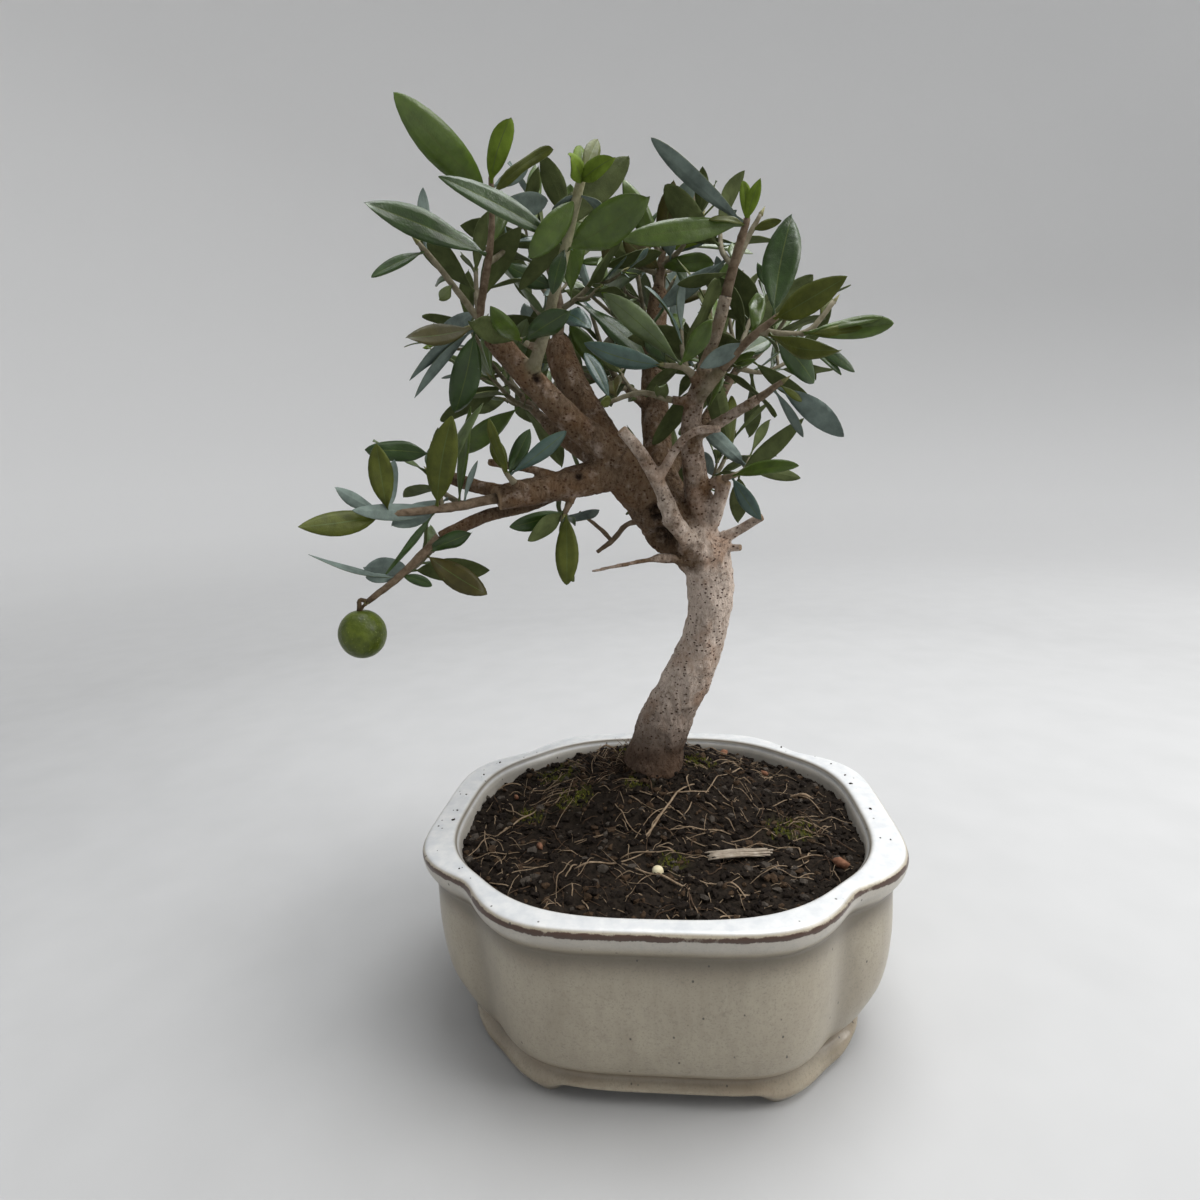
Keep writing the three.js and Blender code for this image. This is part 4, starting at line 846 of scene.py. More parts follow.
def bark_material():
    """Pale grey-brown bark set with dark lenticels, dark brown on the boughs and greenish on young shoots."""
    look = Look("bark", 0.85, **{"Specular IOR Level": 0.15})
    pale, young, hollow_shade, foot, cut = (look.value(name) for name in ("pale", "young", "hollow_shade", "foot", "cut"))
    coarse = look.between(look.noise(7, 5, 0.62, (1, 1, 0.5)), 0.32, 0.68)
    fine = look.between(look.noise(1.2, 5, 0.72, (1, 1, 0.5)), 0.34, 0.66)
    tan = look.between(look.noise(13, 3, 0.6), 0.48, 0.66)
    trunk = look.mix(coarse, (0.315, 0.240, 0.184), (0.690, 0.565, 0.478))
    streaks = look.between(look.noise(2.2, 6, 0.75, (1, 1, 0.18)), 0.38, 0.62)
    trunk = look.over(trunk, streaks, 0.4, (0.205, 0.148, 0.108))
    trunk = look.over(trunk, fine, 0.6, (0.830, 0.715, 0.625))
    trunk = look.over(trunk, tan, 0.5, (0.320, 0.170, 0.088))
    bough = look.mix(coarse, (0.026, 0.013, 0.006), (0.145, 0.088, 0.048))
    bough = look.over(bough, fine, 0.6, (0.260, 0.185, 0.122))
    bough = look.over(bough, tan, 0.4, (0.150, 0.072, 0.028))
    green = look.mix(coarse, (0.130, 0.122, 0.062), (0.270, 0.262, 0.170))
    patchy = look.plus(pale, look.between(look.noise(6, 4, 0.6), 0, 1, -0.5, 0.5))
    colour = look.mix(look.between(patchy, 0.25, 0.7), bough, trunk)
    colour = look.mix(young, colour, green)
    wide = look.between(look.spots(2.0, (1, 1, 1.4)), 0.17, 0.3, 1, 0)
    small = look.between(look.spots(1.25, (1, 1, 1.3)), 0.16, 0.3, 1, 0)
    sown = look.between(look.noise(7, 3), 0.38, 0.52)
    pits = look.plus(look.times(wide, sown), look.times(small, look.between(sown, 0, 1, 0.7, 0.15)))
    pits = look.times(pits, look.between(young, 0.2, 0.7, 1, 0))
    colour = look.over(colour, pits, 0.88, (0.064, 0.029, 0.013))
    cracks = look.between(look.noise(3.4, 6, 0.8, (1, 1, 0.35)), 0.30, 0.40, 1, 0)
    colour = look.over(colour, cracks, 0.55, (0.045, 0.024, 0.014))
    # Darker towards the soil, by the foot share.
    colour = look.mix(look.times(foot, look.between(fine, 0, 1, 0.84, 0.97)), colour, (0.052, 0.025, 0.011))
    rough = look.between(look.noise(2.5, 4, 0.7), 0.35, 0.55, 0.35, 1)
    # The hollow of each wound scar is painted near black, for its dark wood and the shade deep in the hollow.
    colour = look.mix(look.times(hollow_shade, rough), colour, (0.014, 0.007, 0.004))
    colour = look.over(colour, cut, 0.8, (0.300, 0.205, 0.125))
    relief = look.bump(look.noise(2.4, 6, 0.75, (1, 1, 0.45)), 1.6, 1.0)
    relief = look.bump(pits, 0.5, 0.9, relief)
    return look.done(colour, normal=relief)


def glaze_material():
    """Cream glaze, white on the rim, that breaks brown on edges, greys where it pools, and has pinholes.
    The rim's white is whiter glaze with painted light from above, and the walls are painted darker for their
    shade. The grey is pooled glaze and painted shade under the lip, in the groove and notches, under the foot
    and inside the mouth.
    """
    look = Look("glaze", 0.3, **{"Coat Weight": 0.15, "Coat Roughness": 0.2})
    edge, pool_and_shade, low, top = (look.value(name) for name in ("edge", "pool_and_shade", "low", "top"))
    cloud = look.between(look.noise(26, 3, 0.55), 0.3, 0.7)
    # The cream of the walls is painted darker than the glaze's own, for the shade on the upright walls.
    colour = look.mix(cloud, (0.345, 0.300, 0.225), (0.405, 0.358, 0.272))
    streak = look.between(look.noise(6, 6, 0.7, (1, 1, 0.22)), 0.45, 0.7)
    colour = look.over(colour, streak, 0.42, (0.245, 0.208, 0.150))
    patch = look.between(look.noise(3.4, 5, 0.75), 0.52, 0.68)
    colour = look.over(colour, patch, 0.28, (0.215, 0.180, 0.130))
    speckle = look.between(look.noise(0.8, 3, 0.7), 0.53, 0.66)
    colour = look.over(colour, speckle, 0.5, (0.190, 0.168, 0.135))
    # Painted shade: the pool share greys the glaze where shade falls, as well as where it pools.
    colour = look.over(colour, pool_and_shade, 0.85, (0.105, 0.086, 0.058))
    # A brown tint low on the wall. In the lower notch corners the low share also holds the notch shading, so there this
    # brown is partly painted shade.
    low_brown_and_shade = look.between(look.noise(14, 4, 0.6), 0.35, 0.65, 0.08, 0.42)
    colour = look.mix(look.times(low, low_brown_and_shade), colour, (0.215, 0.150, 0.092))
    # Painted light: the top share paints the rim white and faintly blue, for the light from above and the sky reflected
    # on it, over a glaze that is whiter there.
    white = look.mix(look.between(look.noise(5, 4, 0.6), 0.35, 0.7), (0.570, 0.585, 0.598), (0.700, 0.700, 0.692))
    colour = look.mix(top, colour, white)
    broken = look.plus(edge, look.between(look.noise(7, 5, 0.7), 0.25, 0.75, -0.55, 0.45))
    line = look.times(look.between(broken, 0.5, 0.8), look.between(edge, 0, 0.3))
    colour = look.mix(line, colour, (0.062, 0.031, 0.019))
    holes = look.between(look.spots(5.5, (1, 1, 0.7)), 0.05, 0.085, 1, 0)
    colour = look.over(colour, holes, 0.85, (0.040, 0.034, 0.028))
    normal = look.bump(look.noise(16, 2), 0.5, 0.25, look.bump(look.noise(0.8, 2), 0.04, 0.5))
    normal = look.bump(holes, 0.3, -0.6, normal)
    return look.done(colour, 0.32, normal)


def soil_material(name, dark, light, size):
    """Earth that turns mossy by its own share of moss."""
    look = Look(name, 0.92, **{"Specular IOR Level": 0.08})
    moss = look.times(look.value("moss"), look.between(look.noise(1.6, 3, 0.7), 0.35, 0.6))
    colour = look.mix(look.between(look.noise(size, 4, 0.7), 0.3, 0.7), dark, light)
    colour = look.mix(moss, colour, (0.100, 0.110, 0.020))
    return look.done(colour, normal=look.bump(look.noise(0.9, 4, 0.7), 0.6, 0.9))


def plain_look(name, dark, light, size, roughness, relief=0.2):
    """Two tones in patches of a size."""
    look = Look(name, roughness, **{"Specular IOR Level": 0.2})
    share = look.between(look.noise(size, 4, 0.6), 0.3, 0.7)
    return look.done(look.mix(share, dark, light), normal=look.bump(look.noise(size / 2, 3), relief, 0.6))


def fruit_material():
    """Green olive skin with pale dots."""
    look = Look("olive_skin", 0.4, **{"Specular IOR Level": 0.3})
    colour = look.mix(look.between(look.noise(5, 4, 0.65), 0.32, 0.68), (0.034, 0.048, 0.003), (0.092, 0.122, 0.010))
    speck = look.between(look.spots(1.3), 0.08, 0.2, 1, 0)
    colour = look.over(colour, speck, 0.6, (0.210, 0.250, 0.060))
    return look.done(colour, normal=look.bump(look.noise(1.3, 3), 0.3, 0.8))


# ---------------------------------------------------------------- leaves
STATIONS = [0, 0.05, 0.1, 0.17, 0.26, 0.36, 0.47, 0.58, 0.68, 0.78, 0.87, 0.94, 0.98, 1]
COLUMNS = [-1, -0.55, -0.035, 0.035, 0.55, 1]
PETIOLE = 0.1  # share of a leaf's length
PETIOLE_RADIUS = 0.55
BLADE = 0.34  # thickness
SLENDER = 0.37  # the widest blade, as a share of its length


def add_leaf(maker, leaf):
    """A closed blade, folded along its midrib, bowed and wavy, on a short stalk."""
    seed = leaf.seed
    rise, fall = 0.88 + 0.14 * sway(seed, 301), 0.78 + 0.14 * sway(seed, 302)
    peak = (rise / (rise + fall)) ** rise * (fall / (rise + fall)) ** fall
    bow, curl = leaf.length * (0.045 + 0.05 * sway(seed, 303)), leaf.length * 0.05 * sway(seed, 304)
    bend = leaf.length * 0.03 * sway(seed, 305)
    fold, wave = 0.24 + 0.2 * sway(seed, 306), 0.12 * sway(seed, 307)
    across, up = leaf.across, leaf.up
    width = 0.92 * min(leaf.width, SLENDER * leaf.length)
    top, under = [], []
    for s in STATIONS:
        u = max(s - PETIOLE, 0) / (1 - PETIOLE)
        body = u**rise * max(1 - u, 0) ** fall / peak
        stalk = max(0.0, 1 - s / (1.6 * PETIOLE))
        half = max(0.5 * width * body, PETIOLE_RADIUS * min(1, stalk + 0.25) * (s < 0.5), 0.06)
        centre = on_blade(leaf, s, 0) + up * (4 * bow * s * (1 - s) - curl * s**3)
        centre = centre + across * bend * math.sin(math.pi * s)
        thick = max(BLADE, 2 * PETIOLE_RADIUS * stalk) * (0.5 if s > 0.95 else 1)
        rib = 0.45 * (1 - s)
        for c in COLUMNS:
            height = half * (fold * abs(c) - 0.22 * c**4 * (fold > 0))
            height += leaf.width * wave * c * math.sin(2 * math.pi * (1.4 * s + seed))
            base = centre + across * half * c + up * height
            low = thick * (1 - 0.45 * abs(c)) / 2
            top.append(base + up * low * (0.75 if abs(c) < 0.2 else 1))
            under.append(base - up * (low + (rib if abs(c) < 0.2 else 0)))
    rows, columns = len(STATIONS), len(COLUMNS)
    count = rows * columns
    look = leaf.look or seeded_look(leaf)
    paint = LETTERS.index("B" if look == "s" else look.upper())
    silver = look.upper() in "SBD" if leaf.look else chance(seed, 403) < 0.18
    # Leaves that are not silver underneath take the darker underside painted for shade.
    below = UNDER + (0 if silver else 1)
    faces, paints = [], []
    for index, face in enumerate(grid_faces(rows, columns, closed=False)):
        column = index % (columns - 1)
        faces += [face, tuple(count + i for i in reversed(face))]
        paints += [RIB if column == 2 else paint, below]
    for r in range(rows - 1):
        for c, turn in ((0, 1), (columns - 1, -1)):
            a, b = r * columns + c, (r + 1) * columns + c
            faces.append((a, b, count + b, count + a)[::turn])
            paints.append(MARGIN)
    for r, turn in ((0, -1), (rows - 1, 1)):
        for c in range(columns - 1):
            a = r * columns + c
            faces.append((a, a + 1, count + a + 1, count + a)[::-turn])
            paints.append(MARGIN)
    maker.add(top + under, faces, paints)


def seeded_look(leaf):
    """The colour of a leaf of the seeded shoots: one for most of a shoot, with some strays."""
    shoot, own = chance(leaf.shoot, 401), chance(leaf.seed, 402)
    if own < 0.12:
        return "Y" if leaf.length < 18 else "L"
    return "DGGODBGWLDGO"[int(12 * (0.65 * shoot + 0.35 * own))]


# ---------------------------------------------------------------- foliage
def add_bud(maker, tip, along, size, seed):
    """A pointed bud between two tiny upright leaves."""
    points, faces = [], []
    axes = frame_of(Path([tip - along, tip]), 1)
    for turn in (0, 120, 240):
        points.append(tip + 0.3 * size * opened(axes, turn + 60 * sway(seed, 501), 90))
    points += [tip - 0.3 * size * along, tip + size * along]
    for i in range(3):
        j = (i + 1) % 3
        faces += [(i, j, 4), (j, i, 3)]
    maker.add(points, faces)


def tip_leaves(seed):
    """The youngest pair at the tip of a shoot, small and close to it."""
    turn = 360 * chance(seed, 511)
    for half in (0, 1):
        length = 7 + 5 * chance(seed, 512 + half)
        row = [1, turn + 180 * half, 24 + 16 * chance(seed, 514 + half), length, 0.34 * length, 40 * sway(seed, 516)]
        yield row


def fine_shoots(mass):
    """Finer twigs between the leaves of a seeded mass, each with a few small leaves."""
    for shoot in list(mass.shoots):
        for k in range(FINE["per_shoot"]):
            own = shoot.seed + 0.13 * (k + 1)
            share = 0.2 + 0.7 * chance(own, 601)
            start = shoot.curve.point(share)
            aim = opened(frame_of(shoot.curve, share), 360 * chance(own, 602), 50 + 25 * chance(own, 603))
            length = FINE["length"] * (0.7 + 0.6 * chance(own, 604))
            middle = start + 0.5 * length * aim
            tip = middle + 0.5 * length * unit(aim + [0, 0, 0.5])
            curve = Path([start, middle, tip])
            past = np.linalg.norm(tip - mass.anchor) > mass.reach or tip[2] > CROWN_TOP
            if past or not shoot_is_clear(curve, FINE["clear"]):
                continue
            rows = pair_rows(FINE["pairs"], FINE["leaf"], length, own)
            mass.shoots.append(SimpleNamespace(curve=curve, radii=FINE["radii"], steps=2, rows=rows, seed=own))
            for j, row in enumerate(rows):
                place_leaf(mass, mass.shoots[-1], row, own + 0.37 * (j + 1), "")


BROWN_FROM = 1.45  # the radius of a twig with old bark
FINE = {"per_shoot": 2, "length": 15, "pairs": 2, "leaf": 19, "radii": [0.8, 0.65, 0.5], "clear": 0.6}
PALE_STEM = [1.7, 1.6, 1.4]  # radii of the shoot at the front, which stays pale and thick to its tip
BARE_TWIG = {  # under the bough to the left, forked: a share along that bough, then points
    "root": 0.3, "bend": [-8.5, 30, 187], "fork": [-16.8, 33, 179.4], "low_tip": [-23.6, 34, 174.8],
    "high_tip": [[-22, 33, 185.2], [-30.4, 33, 192.4]],
}


def make_foliage():
    """All the leaves as one piece, all the twigs as another and the buds as a third."""
    leaves, twigs, buds = Maker(), Maker(), Maker()
    names = [mass.name for mass in masses]
    for mass in masses:
        if mass.seeded:
            fine_shoots(mass)
        pale_stem = mass.name == "leaves_front"
        for shoot in mass.shoots:
            for j, row in enumerate([] if pale_stem else tip_leaves(shoot.seed)):
                place_leaf(mass, shoot, row, shoot.seed + 0.37 * (j + 31), "")
            radii = PALE_STEM if pale_stem else shoot.radii
            paint = 2 if pale_stem else int(radii[0] > BROWN_FROM)
            tube(twigs, shoot.curve, radii, 8, 6 * shoot.steps, paint, 0.08, shoot.seed)
            tip, along = shoot.curve.point(1), shoot.curve.tangent(1)
            add_bud(buds, tip, along, 2.6 + 1.2 * chance(shoot.seed, 521), shoot.seed)
        for leaf in mass.leaves:
            add_leaf(leaves, leaf)
    young = plain_look("young_bark", (0.100, 0.084, 0.048), (0.215, 0.190, 0.130), 2.5, 0.75)
    bud = plain_look("bud", (0.120, 0.110, 0.045), (0.210, 0.200, 0.080), 1.5, 0.7)
    leaves.build("crown_leaves", leaf_materials, "foliage", names)
    brown = plain_look("brown_bark", (0.070, 0.046, 0.026), (0.200, 0.148, 0.100), 2.5, 0.8)
    fork, root = BARE_TWIG["fork"], limbs["bough_main_left"].curve.point(BARE_TWIG["root"])
    low = Path([root, BARE_TWIG["bend"], fork, BARE_TWIG["low_tip"]])
    tube(twigs, low, [1.5, 1.2, 1.1, 0.8], 8, 18, 1, 0.2, 7)
    tube(twigs, Path([fork, *BARE_TWIG["high_tip"]]), [1.0, 0.9, 0.6], 8, 12, 1, 0.2, 8)
    green = plain_look("shoot_bark", (0.150, 0.140, 0.070), (0.300, 0.290, 0.185), 2.5, 0.75)
    twigs.build("crown_twigs", [young, brown, green], "foliage", names)
    buds.build("crown_buds", [bud], "foliage", names)


def make_fruit():
    """The green olive on its crooked stalk."""
    mass = next(m for m in masses if m.name == "leaves_fruit")
    tip = mass.shoots[0].curve.point(1)
    middle = path_of(tip, [FRUIT["leg"]]).point(1)
    rows, columns = 33, 48
    skin = Maker()
    points = []
    for r in range(rows):
        a = math.pi * r / (rows - 1)
        for c in range(columns):
            b = 2 * math.pi * c / columns
            bulge = 1 + 0.012 * noise.noise(Vector((3 * math.cos(b), 3 * math.sin(b), 3 * a)))
            across = 0.5 * FRUIT["width"] * math.sin(a) * bulge
            height = 0.5 * FRUIT["height"] * -math.cos(a) - 0.5 * math.exp(-((math.pi - a) / 0.25) ** 2)
            points.append(middle + np.array([across * math.cos(b), across * math.sin(b), height]))
    skin.add(points, grid_faces(rows, columns))
    skin.build("olive", [fruit_material()], "foliage", ["leaves_fruit"])
    stalk = Maker()
    crown = middle + np.array([0, 0, 0.47 * FRUIT["height"]])
    side = np.array([-1.6, 0.4, 2.2])
    tube(stalk, Path([tip, (tip + crown) / 2 + side, crown]), [0.9, 0.7, 1.1], 8, 8, 0, 0.1, 3)
    tube(stalk, Path([crown, crown + [1.2, 0, 1.6], crown + [3.0, -0.6, 2.4]]), [0.8, 0.6, 0.45], 7, 5, 0, 0.2, 5)
    dark = plain_look("fruit_stalk", (0.040, 0.024, 0.012), (0.120, 0.085, 0.045), 1.2, 0.8)
    stalk.build("olive_stalk", [dark], "foliage", ["leaves_fruit"])


# ---------------------------------------------------------------- bark
VOXEL = 0.66
RELIEF = [  # depth and pace of the bark's lumps, ridges and grain
    (0.9, (0.07, 0.07, 0.05)), (0.6, (0.32, 0.32, 0.14)), (0.34, (0.8, 0.8, 0.45)),
]
FOOT_DARKENING = {"top": 46, "fade": 36}  # how far above the soil the trunk is darkened, and how slowly that fades
SCARS = [  # on a limb: its name, share along it, turn round it, radius
    ("bough_main_left", 0.27, 325, 7.5),
    ("bough_main_left", 0.47, 330, 5.0),
    ("bough_upper_left", 0.68, 5, 2.5),
    ("bough_cut_left", 0.30, 20, 2.2),
    ("trunk", 0.40, 60, 2.4),
]


def limb_place(name, share, turn):
    """A point on a limb's skin."""
    limb = limbs[name]
    out = opened(frame_of(limb.curve, share), turn, 90)
    return limb.curve.point(share) + spread(limb.radii, share) * out


def fused_limbs():
    """Every limb as one skin, with fillets where limbs meet."""
    maker = Maker()
    for limb in limbs.values():
        sides = 20 if limb.radii[0] > LIMB_ROUND else 12
        tube(maker, limb.curve, limb.radii, sides, 5 * limb.legs, 0, 0.05, 40 + len(maker.faces))
    mesh = bpy.data.meshes.new("limb_tubes")
    mesh.from_pydata((np.array(maker.points) * MM).tolist(), [], maker.faces)
    block = bpy.data.objects.new("limb_tubes", mesh)
    bpy.context.scene.collection.objects.link(block)
    fuse = block.modifiers.new("fuse", "REMESH")
    fuse.mode, fuse.voxel_size = "VOXEL", VOXEL * MM
    soften = block.modifiers.new("soften", "SMOOTH")
    soften.factor, soften.iterations = 0.5, 5
    skin = bpy.data.meshes.new_from_object(block.evaluated_get(bpy.context.evaluated_depsgraph_get()))
    bpy.data.objects.remove(block)
    return skin


def numbers_of(collection, key, width):
    values = np.zeros(len(collection) * width)
    collection.foreach_get(key, values)
    return values.reshape(-1, width)


# How pale the bark of a limb is and how green, from 0 to 1; the others are as dark as a bough.
BARK_TONES = {
    "trunk": (1, 0), "stem_front": (0.55, 0.05), "shoot_front": (0.4, 0.8), "shoot_right": (0.45, 0.3),
    "shoot_side": (0.3, 0.5), "twig_bare": (0.3, 0), "bough_right": (0.4, 0), "bough_right_low": (0.4, 0.1),
    "stub_top": (0.5, 0), "stub_side": (0.5, 0), "stub_small": (0.5, 0), "stub_fork": (0.45, 0),
}
CUT_ENDS = ["bough_cut_left", "stub_cut_left", "stub_dead", "stub_top", "stub_small", "stem_front", "stub_side"]


def nearest_limb(points):
    """For each point, the radius of the limb it is on, its tones and how far up the limb it is."""
    best = np.full(len(points), 1e9)
    radius, pale, young, up = (np.zeros(len(points)) for _ in range(4))
    for name, limb in limbs.items():
        light, green = BARK_TONES.get(name, (0.2, 0))
        for i, (p, q, r) in enumerate(zip(*bones_of(limb.curve, limb.radii, limb.steps))):
            d = q - p
            t = np.clip((points - p) @ d / (d @ d), 0, 1)
            away = np.linalg.norm(points - p - t[:, None] * d, axis=1) - r
            near = away < best
            best[near], radius[near], pale[near], young[near] = away[near], r, light, green
            up[near] = (i + t[near]) / limb.steps
    return radius, pale, young, up


def evened(mesh, values, passes):
    """The values of a mesh's points, spread a little along its edges."""
    ends = np.zeros(2 * len(mesh.edges), int)
    mesh.edges.foreach_get("vertices", ends)
    a, b = ends.reshape(-1, 2).T
    count = np.bincount(ends, minlength=len(values))
    for _ in range(passes):
        total = np.bincount(a, values[b], len(values)) + np.bincount(b, values[a], len(values))
        values = 0.5 * values + 0.5 * total / count
    return values


def make_bark():
    """The skin of the limbs with its relief, wound scars, darkening towards the soil and sawn ends."""
    mesh = fused_limbs()
    mesh.name = "bark"
    points = numbers_of(mesh.vertices, "co", 3) / MM
    normals = numbers_of(mesh.vertices, "normal", 3)
    radius, pale, young, up = nearest_limb(points)
    pale = pale * np.where(pale == 1, np.clip((1.08 - up) / 0.22, 0.15, 1), 1)
    top = limbs["trunk"].curve.point(1)
    close = np.clip(2.1 - np.linalg.norm(points - top, axis=1) / 13, 0, 1)
    pale = np.maximum(pale, 0.75 * close * np.clip((points[:, 0] - top[0] + 6) / 7, 0, 1))
    pale, young = evened(mesh, pale, 90), evened(mesh, young, 20)
    hollow_shade = np.zeros(len(points))
    out = np.zeros(len(points))
    for name, share, turn, size in SCARS:
        where = limb_place(name, share, turn)
        away = np.linalg.norm(points - where, axis=1) / size
        out += 0.22 * size * np.exp(-(((away - 1.05) / 0.3) ** 2)) - 0.45 * size * np.exp(-((away / 0.6) ** 2))
        hollow_shade = np.maximum(hollow_shade, np.exp(-((away / 0.75) ** 4)))
    for i, p in enumerate(points):
        relief = sum(depth * noise.noise(Vector(p * pace)) for depth, pace in RELIEF)
        out[i] += min(radius[i] / 9, 1.1) * relief
    foot = points[:, 2] < SOIL["crown"] + 1.5
    points = points + normals * out[:, None]
    points[foot, 2] = np.maximum(points[foot, 2], SOIL["crown"] - 3)
    mesh.vertices.foreach_set("co", (points * MM + ORIGIN).ravel())
    mesh.polygons.foreach_set("use_smooth", [True] * len(mesh.polygons))
    mesh.materials.append(bark_material())
    foot_darkening = np.clip((SOIL["crown"] + FOOT_DARKENING["top"] - points[:, 2]) / FOOT_DARKENING["fade"], 0, 1) ** 1.5
    cut = np.zeros(len(points))
    for name in CUT_ENDS:
        tip, along = limbs[name].curve.point(1), limbs[name].curve.tangent(1)
        near = np.linalg.norm(points - tip, axis=1) < 1.3 * limbs[name].radii[-1]
        cut = np.maximum(cut, near * np.clip(((points - tip) @ along + 1.1) / 0.6, 0, 1))
    values = {"pale": pale, "young": young, "foot": foot_darkening, "hollow_shade": hollow_shade, "cut": cut}
    finish_piece(mesh, list(limbs), values)


# ---------------------------------------------------------------- pot
LOBE_STEPS = 60  # round one lobe
LIP_ROUND, MOUTH_ROUND = 2.4, 2.3  # radii of the rim's outer and inner edges
GROOVE = 1.3  # depth of the groove at the waist
FOOT_INSET = 1.4  # how far the foot ring draws in below its band
WALL_RINGS, ROLL_RINGS = 60, 16
ARCH = 1.8  # how far the lower edge rises between two feet past the foot's height
FOOT_REACH = [(0.17, 0.25), (0.06, 0.15)]  # from a notch, as shares of a front lobe and of a side lobe


def lobed_ring(sizes, power, steps=LOBE_STEPS, soften=5):
    """One plan of the pot: four lobes that meet in soft notches, in even steps."""
    x, y, nx, ny = sizes
    across = np.sin(np.linspace(-0.5, 0.5, 200) * math.pi)
    out = 1 - np.abs(across) ** power
    sides = [
        np.column_stack([across * nx, -(ny + out * (y - ny))]),
        np.column_stack([nx + out * (x - nx), across * ny]),
        np.column_stack([-across * nx, ny + out * (y - ny)]),
        np.column_stack([-(nx + out * (x - nx)), -across * ny]),
    ]
    ring = []
    for side in sides:
        run = np.append(0, np.cumsum(np.linalg.norm(np.diff(side, axis=0), axis=1)))
        at = np.arange(steps) / steps * run[-1]
        ring.append(np.column_stack([np.interp(at, run, side[:, 0]), np.interp(at, run, side[:, 1])]))
    ring = np.vstack(ring)
    for _ in range(soften):
        ring = 0.5 * ring + 0.25 * np.roll(ring, 1, 0) + 0.25 * np.roll(ring, -1, 0)
    return ring


def smooth_share(value, low, high):
    share = min(max((value - low) / (high - low), 0), 1)
    return share * share * (3 - 2 * share)


def sizes_at(z):
    """The half sizes of the outer wall at a height, smooth from level to level up to the neck."""
    levels = [POT[name] for name in ("foot", "band", "waist", "turn", "belly", "wall", "neck")]
    heights = [level["z"] for level in levels]
    i = int(np.clip(np.searchsorted(heights, z) - 1, 0, len(levels) - 2))
    span = heights[i + 1] - heights[i]
    w = (z - heights[i]) / span
    result = []
    for key in LEVEL_KEYS[1:]:
        v = [level[key] for level in levels]
        slopes = []
        for j in (i, i + 1):
            a, b = max(j - 1, 0), min(j + 1, len(v) - 1)
            slopes.append((v[b] - v[a]) / (heights[b] - heights[a]))
        h00, h10 = 2 * w**3 - 3 * w**2 + 1, w**3 - 2 * w**2 + w
        h01, h11 = -2 * w**3 + 3 * w**2, w**3 - w**2
        result.append(h00 * v[i] + h10 * span * slopes[0] + h01 * v[i + 1] + h11 * span * slopes[1])
    groove = GROOVE * math.exp(-(((z - POT["waist"]["z"] - 0.5) / 2) ** 2))
    return np.array(result) - groove - FOOT_INSET * smooth_share(z, POT["band"]["z"], POT["foot"]["z"])


def level_sizes(name):
    return np.array([POT[name][key] for key in LEVEL_KEYS[1:]])


